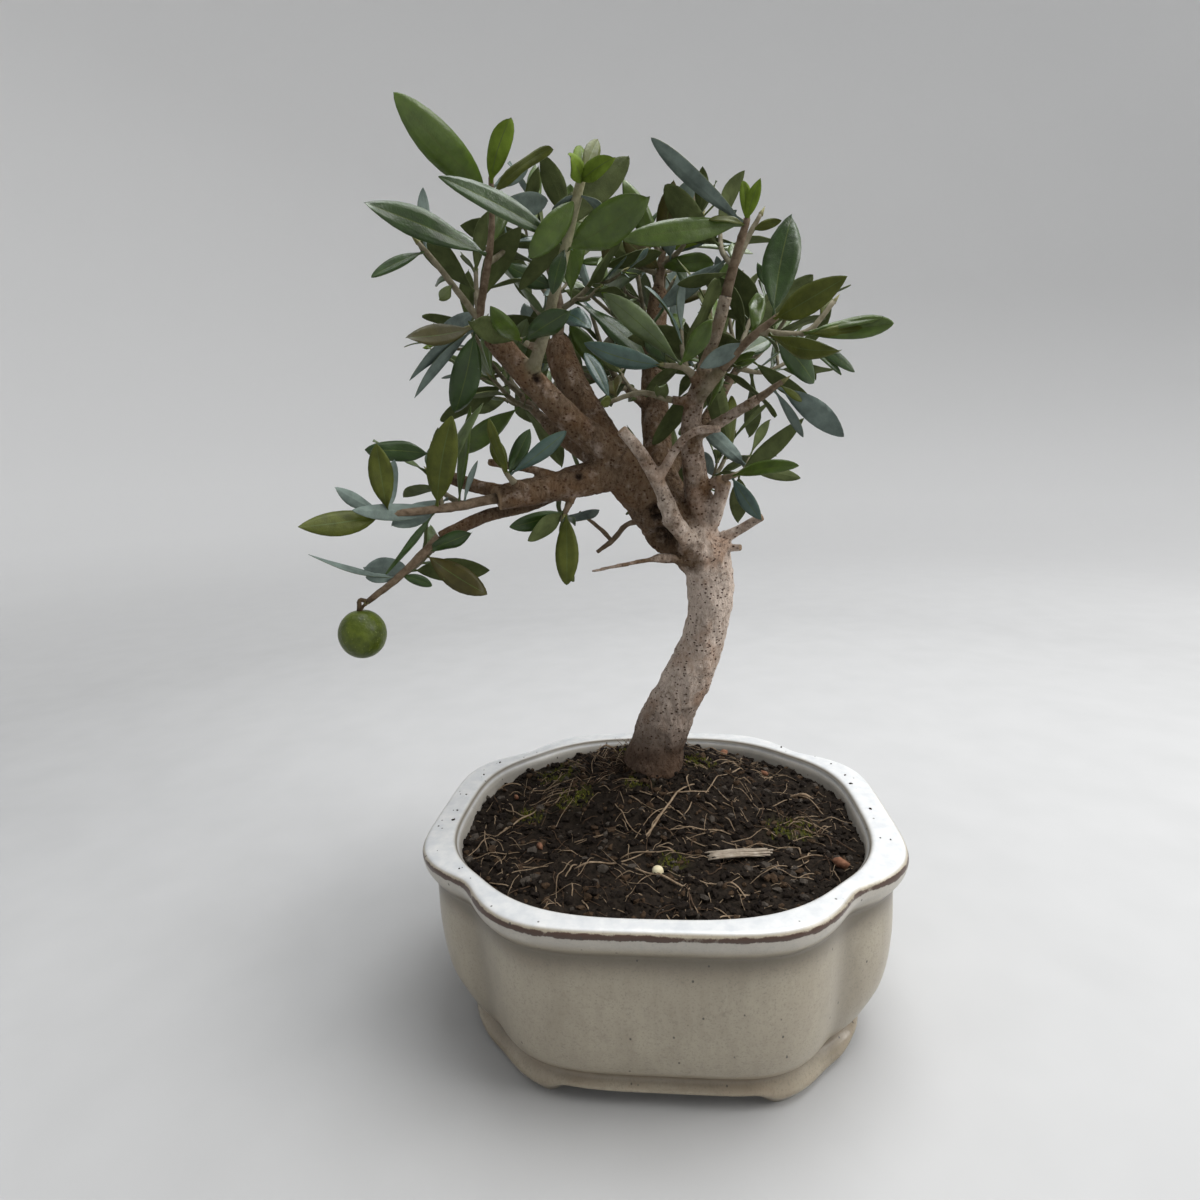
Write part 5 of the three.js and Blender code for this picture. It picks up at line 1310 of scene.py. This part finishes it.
def pot_rings():
    """Rings of points with their edge, pool, low and top shares, from the foot up, over the rim and inside.
    The pool share carries painted shade as well as pooled glaze, and the top share carries painted light.
    """
    rings = []

    def ring(plan, z, edge=0.0, pool_and_shade=0.0, low=0.0, top=0.0):
        rings.append((np.column_stack([plan, np.zeros(len(plan)) + z]), edge, pool_and_shade, low, top))

    waist, foot_z, band_z = (POT[name]["z"] for name in ("waist", "foot", "band"))
    feet = foot_shares()
    bottom = level_sizes("foot") - FOOT_INSET
    arch = (foot_z + ARCH) * (1 - feet)
    for inset, soften in ((FOOT_WALL, 24), (2.5, 24), (0.9, 16)):
        plan = lobed_ring(bottom - inset, LOBE_POWER, soften=soften)
        # Under the foot the pool share paints shade.
        ring(plan, foot_z if inset > 5 else arch, 0, 0.6, 1)
    for z in np.linspace(foot_z, POT["neck"]["z"], WALL_RINGS):
        low = math.exp(-((z - waist + 1) / 7) ** 2)
        # Painted shade under the lip at the neck and in the waist groove, through the pool share.
        pool_and_shade = math.exp(-((z - POT["neck"]["z"]) / 6) ** 2) + 0.7 * math.exp(-((z - waist - 0.5) / 1.8) ** 2)
        soften = round(5 + 11 * (1 - smooth_share(z, foot_z, band_z + 2)))
        plan = lobed_ring(sizes_at(z), LOBE_POWER, soften=soften)
        share = min((z - foot_z) / (waist - 1 - foot_z), 1)
        level = z if share == 1 else 0.5 + arch + share * (waist - 1.5 - arch)
        ring(plan, level, 0.3 * (z < foot_z + 0.7), min(pool_and_shade, 1), low)
    neck, rim, neck_z = level_sizes("neck"), level_sizes("rim"), POT["neck"]["z"]
    top = POT["rim"]["z"]
    for w in np.linspace(0.06, 1, ROLL_RINGS):
        z = neck_z + w * (top - LIP_ROUND - neck_z)
        sizes = neck + (rim - neck) * (0.5 - 0.5 * math.cos(math.pi * w**0.62))
        lit = 0.3 * smooth_share(w, 0.3, 0.8)
        ring(lobed_ring(sizes, LOBE_POWER), z, max(0, 1 - (1 - w) / 0.13), 1 - smooth_share(w, 0, 0.5), top=lit)
    outer, inner = lobed_ring(rim, LOBE_POWER), lobed_ring(level_sizes("mouth"), MOUTH_POWER)
    inward = inner - outer
    width = np.linalg.norm(inward, axis=1, keepdims=True)
    inward = inward / width
    for a in np.linspace(10, 90, 9):
        r = math.radians(a)
        # Over the outer rounding the brown edge gives way to the white of the top share, which is painted light.
        edge, white = 1 - smooth_share(a, 18, 54), smooth_share(a, 40, 66)
        plan = outer + inward * LIP_ROUND * (1 - math.cos(r))
        ring(plan, top - LIP_ROUND * (1 - math.sin(r)), edge, top=white)
    for w in (0.25, 0.5, 0.75, 1):
        start, end = outer + inward * LIP_ROUND, inner - inward * MOUTH_ROUND
        ring(start + w * (end - start), top, top=1)
    for a in np.linspace(15, 90, 7):
        r = math.radians(a)
        # Painted shade: a grey band round the mouth's inner edge, through the pool share.
        grey = math.exp(-(((a - 52) / 22) ** 2))
        plan = inner - inward * MOUTH_ROUND * (1 - math.sin(r))
        ring(plan, top - MOUTH_ROUND * (1 - math.cos(r)), pool_and_shade=grey, top=1 - grey)
    for z in np.linspace(top - 3, POT_INSIDE, 8):
        taper = INNER_TAPER * (top + 1 - z) / (top + 1 - POT_FLOOR)
        # The inner wall is greyed by painted shade, with a little of the top share's white.
        ring(lobed_ring(level_sizes("mouth") - taper, MOUTH_POWER), z, pool_and_shade=0.45, top=0.3)
    return rings


def foot_shares():
    """Round one plan of the pot, 1 where it stands on a foot and 0 between two feet."""
    away = np.arange(LOBE_STEPS) / LOBE_STEPS
    away = np.minimum(away, 1 - away)
    shares = [[1 - smooth_share(a, low, high) for a in away] for low, high in FOOT_REACH]
    return np.array(shares + shares).ravel()


def notch_shade(q):
    """How deep in a notch a point of the wall is, from 0 to 1."""
    nx, ny = POT["wall"]["notchX"], POT["wall"]["notchY"]
    away = math.atan2(abs(q[1]), abs(q[0])) - math.atan2(ny, nx)
    return math.exp(-((away / 0.085) ** 2))


def make_pot():
    """The pot's shell, with the shares that its glaze is painted by."""
    maker = Maker()
    count = 4 * LOBE_STEPS
    rings = pot_rings()
    shares = {"edge": [], "pool_and_shade": [], "low": [], "top": []}

    def note(number, *values):
        for key, value in zip(shares, values):
            shares[key] += [value] * number

    points = []
    for plan, e, p, l, t in rings:
        for q in plan:
            wave = 0.30 * noise.noise(Vector(q * 0.035)) * (3 < q[2] < 72)
            points.append(q + wave * unit(np.array([q[0], q[1], 0])))
            # Painted shade in the notches between lobes: notch_shade greys the wall through the pool share, and in the
            # lower corners it also adds to the low share's brown.
            wall = q[2] < POT["rim"]["z"] - 5 and t < 0.3
            groove = 0.45 * notch_shade(q) if wall else 0
            corner = 1 if wall and q[2] < POT["turn"]["z"] else 0
            note(1, e, min(p + groove, 1), min(l + corner * groove, 1), t)
    faces = grid_faces(len(rings), count)
    for ring, z in ((0, POT["foot"]["z"]), (len(rings) - 1, POT_INSIDE)):
        centre, base = len(points), ring * count
        points.append(np.array([0, 0, z]))
        note(1, 0, 1, 0, 0)
        faces += [(centre, base + i, base + (i + 1) % count) for i in range(count)]
    maker.add(points, faces)
    maker.build("glazed_pot", [glaze_material()], "glaze", ["pot"], values=shares)


# ---------------------------------------------------------------- soil
MOSS = [(-47, 39, 12), (-36, 11, 9), (-8, 14, 7), (19, 35, 8), (52, -6, 10), (-55, 2, 7), (-14, 46, 9), (6, -30, 6)]
RINGS_IN = 110  # of the soil's surface
COLLAR = {"height": 1.9, "radius": 9, "width": 5}  # the ring of soil against the trunk
CRUMBS, FOOT_CRUMBS, RIM_CRUMBS, ROOTLETS, FIBRES = 5200, 260, 22, 640, 150
MOSS_TUFTS = 16  # for each millimetre of a patch's reach


def lumps(x, y):
    pace = 2 * math.pi / SOIL["lumpPitch"]
    return SOIL["lump"] * math.sin(pace * (x + 0.4 * y)) * math.sin(pace * (y - 0.55 * x) + 1)


def soil_height(x, y):
    away = math.hypot(x - SOIL["crownX"], y - SOIL["crownY"])
    share = min(max((away - SOIL["crownR"]) / (SOIL["slopeR"] - SOIL["crownR"]), 0), 1)
    share = share * share * (3 - 2 * share)
    smooth = SOIL["crown"] + share * (SOIL["edge"] + lumps(x, y) - SOIL["crown"])
    clods = 0.9 * noise.noise(Vector((x * 0.3, y * 0.3, 5))) + 0.55 * noise.noise(Vector((x * 0.9, y * 0.9, 9)))
    off = math.hypot(x - TRUNK_FOOT[0], y - TRUNK_FOOT[1]) - COLLAR["radius"]
    collar = math.exp(-((off / COLLAR["width"]) ** 2))
    return smooth + clods - 0.5 + COLLAR["height"] * collar


def moss_at(x, y):
    return max(math.exp(-(((x - mx) ** 2 + (y - my) ** 2) / (0.6 * r) ** 2)) for mx, my, r in MOSS)


def soil_edge():
    taper = INNER_TAPER * (POT["rim"]["z"] + 1 - SOIL["edge"]) / (POT["rim"]["z"] + 1 - POT_FLOOR)
    return lobed_ring(level_sizes("mouth") - taper + 0.6, MOUTH_POWER, 72)


def make_soil():
    """The mound of soil, clods and all, closed underneath."""
    edge = soil_edge()
    middle = np.array([SOIL["crownX"], SOIL["crownY"]])
    maker = Maker()
    points = []
    for k in range(RINGS_IN + 1):
        for p in edge + (k / (RINGS_IN + 0.5)) * (middle - edge):
            points.append(np.array([p[0], p[1], soil_height(*p)]))
    count = len(edge)
    faces = grid_faces(RINGS_IN + 1, count)
    faces.append(tuple(range(RINGS_IN * count, (RINGS_IN + 1) * count)))
    below = len(points)
    points += [np.array([p[0], p[1], SOIL_UNDER]) for p in edge * 0.99]
    faces += [(i, (i + 1) % count, below + (i + 1) % count, below + i) for i in range(count)]
    faces.append(tuple(below + i for i in reversed(range(count))))
    maker.add(points, faces)
    moss = [moss_at(p[0], p[1]) for p in points]
    earth = soil_material("earth", (0.006, 0.005, 0.004), (0.030, 0.022, 0.016), 1.8)
    maker.build("earth", [earth], "soil", ["soil"], values={"moss": moss})


def within_pot(x, y, margin):
    """Whether a place is inside the soil's edge by a margin, on the lobed plan."""
    away = math.hypot(x, y)
    if away < 1e-6:
        return True
    edge = SOIL_EDGE
    angles = np.arctan2(edge[:, 1], edge[:, 0])
    nearest = np.argmin(np.abs(np.angle(np.exp(1j * (angles - math.atan2(y, x))))))
    return away < np.linalg.norm(edge[nearest]) - margin


SOIL_EDGE = soil_edge()
ICO = [
    (0, 0, 1), *[(0.894 * math.cos(a), 0.894 * math.sin(a), 0.447) for a in np.arange(5) * 0.4 * math.pi],
    *[(0.894 * math.cos(a), 0.894 * math.sin(a), -0.447) for a in (np.arange(5) + 0.5) * 0.4 * math.pi], (0, 0, -1),
]
ICO_FACES = [(0, 1 + i, 1 + (i + 1) % 5) for i in range(5)]
ICO_FACES += [(1 + i, 6 + i, 1 + (i + 1) % 5) for i in range(5)]
ICO_FACES += [(6 + i, 6 + (i + 1) % 5, 1 + (i + 1) % 5) for i in range(5)]
ICO_FACES += [(11, 6 + (i + 1) % 5, 6 + i) for i in range(5)]


def crumb(maker, at, size, seed, flat=0.7, paint=0):
    turn = 2 * math.pi * chance(seed, 701)
    ca, sa = math.cos(turn), math.sin(turn)
    points = []
    for i, (x, y, z) in enumerate(ICO):
        r = size * (1 + 0.35 * sway(seed, 702 + i))
        x, y = 1.25 * x, 0.85 * y
        points.append(np.array(at) + r * np.array([ca * x - sa * y, sa * x + ca * y, flat * z]))
    maker.add(points, ICO_FACES, paint)


def scattered(count, seed, margin):
    """Places on the soil, evenly strewn."""
    low, high = SOIL_EDGE.min(0), SOIL_EDGE.max(0)
    for i in range(count):
        x = low[0] + (high[0] - low[0]) * chance(seed, 3 * i)
        y = low[1] + (high[1] - low[1]) * chance(seed, 3 * i + 1)
        trunk = math.hypot(x - TRUNK_FOOT[0], y - TRUNK_FOOT[1]) < 12
        if within_pot(x, y, margin) and not trunk:
            yield x, y, seed + 0.01 * i


def make_litter():
    """Crumbs strewn over the soil, thickest at the trunk's foot."""
    crumbs = Maker()
    for x, y, seed in scattered(CRUMBS, 51, 0.5):
        size = 0.35 + 1.5 * chance(seed, 711) ** 3.2
        paint = 1 if chance(seed, 712) < 0.14 else 2 if chance(seed, 713) < 0.12 else 0
        crumb(crumbs, (x, y, soil_height(x, y) + 0.25 * size), size, seed, 0.75, paint)
    for k in range(FOOT_CRUMBS):
        bearing, away = 2 * math.pi * chance(52, k), 7.5 + 8 * chance(53, k)
        x, y = TRUNK_FOOT[0] + away * math.cos(bearing), TRUNK_FOOT[1] + away * math.sin(bearing)
        size = 0.4 + 1.3 * chance(54, k) ** 2
        crumb(crumbs, (x, y, soil_height(x, y) + 0.3 * size), size, 55 + 0.01 * k, 0.75, int(chance(56, k) < 0.2))
    looks = [
        soil_material("crumb_dark", (0.005, 0.004, 0.004), (0.026, 0.019, 0.014), 1.2),
        soil_material("crumb_brown", (0.026, 0.016, 0.010), (0.080, 0.052, 0.032), 1.2),
        soil_material("crumb_grey", (0.030, 0.025, 0.021), (0.095, 0.080, 0.066), 1.2),
    ]
    crumbs.build("soil_crumbs", looks, "soil", ["soil"], smooth=False)


def root_path(x, y, heading, length, lift, seed):
    """A rootlet that wanders over the soil, its ends in it."""
    points = []
    count = 7
    for i in range(count):
        up = lift * math.sin(math.pi * i / (count - 1)) - 0.3
        points.append([x, y, soil_height(x, y) + up + 0.25 * sway(seed, 720 + i)])
        heading += 17 * sway(seed, 730 + i)
        x += length / count * math.cos(math.radians(heading))
        y += length / count * math.sin(math.radians(heading))
        if not within_pot(x, y, 1.5):
            break
    return Path(points) if len(points) > 2 else None


def make_rootlets():
    """Rootlets that lie on the soil, some of them placed, and short fibres that stand up from it."""
    roots = Maker()
    for x, y, seed in scattered(ROOTLETS, 61, 3):
        length = 7 + 30 * chance(seed, 741) ** 2
        curve = root_path(x, y, 360 * chance(seed, 742), length, 0.4 + 1.5 * chance(seed, 743), seed)
        if curve is None:
            continue
        thick = 0.10 + 0.20 * chance(seed, 744) ** 2
        paint = 0 if chance(seed, 745) < 0.6 else 1
        tube(roots, curve, [thick, thick, 0.6 * thick], 5, 14, paint, 0.15, seed)
    named = [(-6.4, -19.9, 50, 50, 1.8, 0.45), (57, 23, -25, 12, 1.4, 0.9), (-30, -34, 15, 34, 1.2, 0.35),
             (-62, -8, 40, 26, 1.5, 0.35), (12, -46, 165, 40, 1.0, 0.4), (-20, 60, 150, 18, 2.5, 0.6)]
    for i, (x, y, heading, length, lift, thick) in enumerate(named):
        tube(roots, root_path(x, y, heading, length, lift, 81 + i), [thick, thick, 0.5 * thick], 7, 24, 0, 0.12, i)
    for k in range(FIBRES):
        bearing, away = math.radians(95 + 115 * chance(85, k)), 11 + 24 * chance(86, k)
        x, y = TRUNK_FOOT[0] + away * math.cos(bearing), TRUNK_FOOT[1] + away * math.sin(bearing)
        if not within_pot(x, y, 1):
            continue
        start = np.array([x, y, soil_height(x, y) - 0.3])
        aim = direction(360 * chance(87, k), 8 + 42 * chance(88, k))
        middle = start + (2 + 3.5 * chance(89, k)) * aim
        tip = middle + (2 + 4 * chance(90, k)) * (aim + [0.4 * sway(91, k), 0.4 * sway(92, k), -0.3])
        tube(roots, Path([start, middle, tip]), [0.22, 0.16, 0.08], 4, 6, int(chance(93, k) < 0.7), 0.1, k)
    pale = plain_look("root_pale", (0.150, 0.100, 0.060), (0.340, 0.255, 0.170), 2, 0.8)
    brown = plain_look("root_brown", (0.030, 0.018, 0.011), (0.095, 0.058, 0.034), 2, 0.8)
    roots.build("rootlets", [pale, brown], "soil", ["soil"])


def make_moss():
    """Patches of short upright moss."""
    tufts = Maker()
    for k, (mx, my, reach) in enumerate(MOSS):
        for i in range(int(MOSS_TUFTS * reach)):
            seed = 900 + 20 * k + 0.01 * i
            away, turn = reach * math.sqrt(chance(seed, 751)), 2 * math.pi * chance(seed, 752)
            x, y = mx + away * math.cos(turn), my + away * math.sin(turn)
            if not within_pot(x, y, 1) or chance(seed, 753) > 1.15 - away / reach:
                continue
            z = soil_height(x, y)
            for blade in range(3):
                lean = 2 * math.pi * chance(seed, 760 + blade)
                height = 0.7 + 1.0 * chance(seed, 770 + blade)
                tip = [x + 0.55 * math.cos(lean), y + 0.55 * math.sin(lean), z + height]
                foot = [[x + 0.3 * math.cos(a + lean), y + 0.3 * math.sin(a + lean), z - 0.2] for a in (0, 2.1, 4.2)]
                tufts.add([np.array(p) for p in (*foot, tip)], [(0, 1, 3), (1, 2, 3), (2, 0, 3), (2, 1, 0)])
    green = plain_look("moss", (0.060, 0.066, 0.008), (0.190, 0.190, 0.026), 3, 0.9)
    tufts.build("moss_tufts", [green], "soil", ["soil"], smooth=False)


PEBBLES = [  # place, size and look
    (65.0, -30.5, 2.6, 2), (31, 58, 2.4, 2), (-45, -22, 1.8, 2), (48, 40, 1.7, 2), (-64, 20, 1.5, 2), (22, -44, 1.3, 3),
]


def make_strays():
    """A wood chip, a round grain of plant food, pebbles and crumbs that lie on the soil and the rim."""
    strays = Maker()
    start, end = np.array([18.5, -28.5]), np.array([41, -24])
    for k in range(9):
        side = (k - 4) * 0.62
        a = start + [1.4 * sway(11, k), side]
        b = end + [2.2 * sway(12, k), side * 0.8]
        za, zb = soil_height(*a) + 1.3, soil_height(*b) + 1.5
        mid = [*(a + b) / 2, (za + zb) / 2 + 0.5 + 0.25 * sway(13, k)]
        tube(strays, Path([[*a, za], mid, [*b, zb]]), [0.28, 0.5, 0.3], 6, 10, 0, 0.3, k)
    ball = np.array([0.7, -37.7])
    for k, (x, y, size, paint) in enumerate(PEBBLES):
        crumb(strays, (x, y, soil_height(x, y) + 0.7), size, 31 + k, 0.8, paint)
    rows, columns, radius = 12, 18, 2.1
    points = []
    for r in range(rows):
        a = math.pi * r / (rows - 1)
        for c in range(columns):
            b = 2 * math.pi * c / columns
            points.append(np.array([
                ball[0] + radius * math.sin(a) * math.cos(b),
                ball[1] + radius * math.sin(a) * math.sin(b),
                soil_height(*ball) + 1.3 - 0.92 * radius * math.cos(a),
            ]))
    strays.add(points, grid_faces(rows, columns), 1)
    top = POT["rim"]["z"]
    inner = lobed_ring(level_sizes("mouth"), MOUTH_POWER)
    outer = lobed_ring(level_sizes("rim"), LOBE_POWER)
    bearings = np.arctan2(outer[:, 1], outer[:, 0])
    for k in range(RIM_CRUMBS):
        turn = 150 + 70 * chance(95 + k, 3) if k < 14 else -25 + 70 * chance(96 + k, 7)
        i = int(np.argmin(np.abs(np.angle(np.exp(1j * (bearings - math.radians(turn)))))))
        q = inner[i] + (0.25 + 0.5 * chance(97 + k, 5)) * (outer[i] - inner[i])
        crumb(strays, (q[0], q[1], top + 0.15), 0.2 + 0.5 * chance(98 + k, 1) ** 3, 99 + k, 0.6, 3)
    looks = [
        plain_look("chip", (0.200, 0.160, 0.120), (0.420, 0.360, 0.290), 3, 0.85),
        plain_look("plant_food", (0.560, 0.480, 0.300), (0.700, 0.640, 0.440), 2, 0.6),
        plain_look("clay_pebble", (0.120, 0.050, 0.028), (0.240, 0.120, 0.070), 1.5, 0.85),
        plain_look("stray_soil", (0.014, 0.010, 0.008), (0.060, 0.046, 0.034), 1.5, 0.9),
    ]
    strays.build("soil_strays", looks, "soil", ["soil"])


# ---------------------------------------------------------------- stage, camera and light
FLOOR_RADIUS, WALL_RADIUS, WALL_HEIGHT = 1.3, 2.6, 2.4  # in metres
FLOOR_GREYS, WALL_GREY = (0.44, 0.46), 0.82


def make_stage():
    """A pale floor that curves up into a wall all round."""
    profile = [(0.02, 0.0), (0.3, 0.0), (0.7, 0.0), (1.0, 0.0), (FLOOR_RADIUS, 0.0)]
    for k in range(1, 9):
        a = k / 8 * math.pi / 2
        bend = WALL_RADIUS - FLOOR_RADIUS
        profile.append((FLOOR_RADIUS + bend * math.sin(a), bend * (1 - math.cos(a))))
    profile.append((WALL_RADIUS, WALL_HEIGHT))
    count = 96
    points, faces = [], grid_faces(len(profile), count)
    for radius, z in profile:
        for i in range(count):
            a = 2 * math.pi * i / count
            points.append((radius * math.cos(a), radius * math.sin(a), z))
    faces.append(tuple(range(count)))
    mesh = bpy.data.meshes.new("studio_floor")
    mesh.from_pydata(points, [], faces)
    mesh.polygons.foreach_set("use_smooth", [True] * len(mesh.polygons))
    far = [min(max((radius - 0.7) / 1.2, 0), 1) for radius, _ in profile for _ in range(count)]
    mesh.attributes.new("far", "FLOAT", "POINT").data.foreach_set("value", far)
    look = Look("studio_floor", 0.9)
    near = look.mix(look.between(look.noise(40, 2), 0.3, 0.7), *(((grey,) * 3) for grey in FLOOR_GREYS))
    mesh.materials.append(look.done(look.mix(look.value("far"), near, (WALL_GREY,) * 3)))
    floor = bpy.data.objects.new("studio_floor", mesh)
    bpy.context.scene.collection.objects.link(floor)


LENS, SENSOR = 19.8, 36
YAW, PITCH, ROLL = -6.5, 10.8, -2.8


def make_camera():
    """The photograph's own view."""
    camera = bpy.data.cameras.new("camera")
    camera.lens, camera.sensor_width = LENS, SENSOR
    yaw, pitch, roll = (math.radians(a) for a in (YAW, PITCH, ROLL))
    ahead = Vector((math.sin(yaw) * math.cos(pitch), math.cos(yaw) * math.cos(pitch), -math.sin(pitch)))
    right = Vector((math.cos(yaw), -math.sin(yaw), 0))
    up = right.cross(ahead)
    across = right * math.cos(roll) + up * math.sin(roll)
    above = up * math.cos(roll) - right * math.sin(roll)
    turn = Matrix((across, above, -ahead)).transposed().to_4x4()
    seat = bpy.data.objects.new("camera", camera)
    seat.matrix_world = Matrix.Translation(Vector(CAMERA_AT * MM + ORIGIN)) @ turn
    bpy.context.scene.collection.objects.link(seat)
    bpy.context.scene.camera = seat


def add_light(name, at, target, size, power, colour=(1, 1, 1)):
    lamp = bpy.data.lights.new(name, "AREA")
    lamp.shape, lamp.size, lamp.energy, lamp.color = "DISK", size, power, colour
    seat = bpy.data.objects.new(name, lamp)
    seat.location = Vector(at)
    seat.rotation_mode = "QUATERNION"
    seat.rotation_quaternion = (Vector(target) - Vector(at)).to_track_quat("-Z", "Y")
    bpy.context.scene.collection.objects.link(seat)


def make_light():
    """Soft studio light from above and from the right."""
    world = bpy.data.worlds.new("world")
    world.use_nodes = True
    background = world.node_tree.nodes["Background"]
    background.inputs["Color"].default_value = (0.93, 0.97, 1.0, 1)
    background.inputs["Strength"].default_value = 0.12
    bpy.context.scene.world = world
    bpy.context.scene.view_settings.view_transform = "Standard"
    middle = (ORIGIN[0], ORIGIN[1], 0.18)
    # Where each light is, what it points at, its width in metres, its power in watts and its colour.
    add_light("sky_panel", (0.35, 0.15, 1.3), middle, 1.1, 19, (0.97, 0.985, 1.0))
    add_light("right_panel", (1.15, -0.25, 0.85), middle, 0.7, 10, (1.0, 0.985, 0.96))
    add_light("ceiling", (0, 0, 2.9), (0, 0, 0), 3.6, 27)


# ---------------------------------------------------------------- making it all
make_camera()
make_light()
make_stage()
make_pot()
make_soil()
make_litter()
make_rootlets()
make_moss()
make_strays()
make_bark()
make_foliage()
make_fruit()
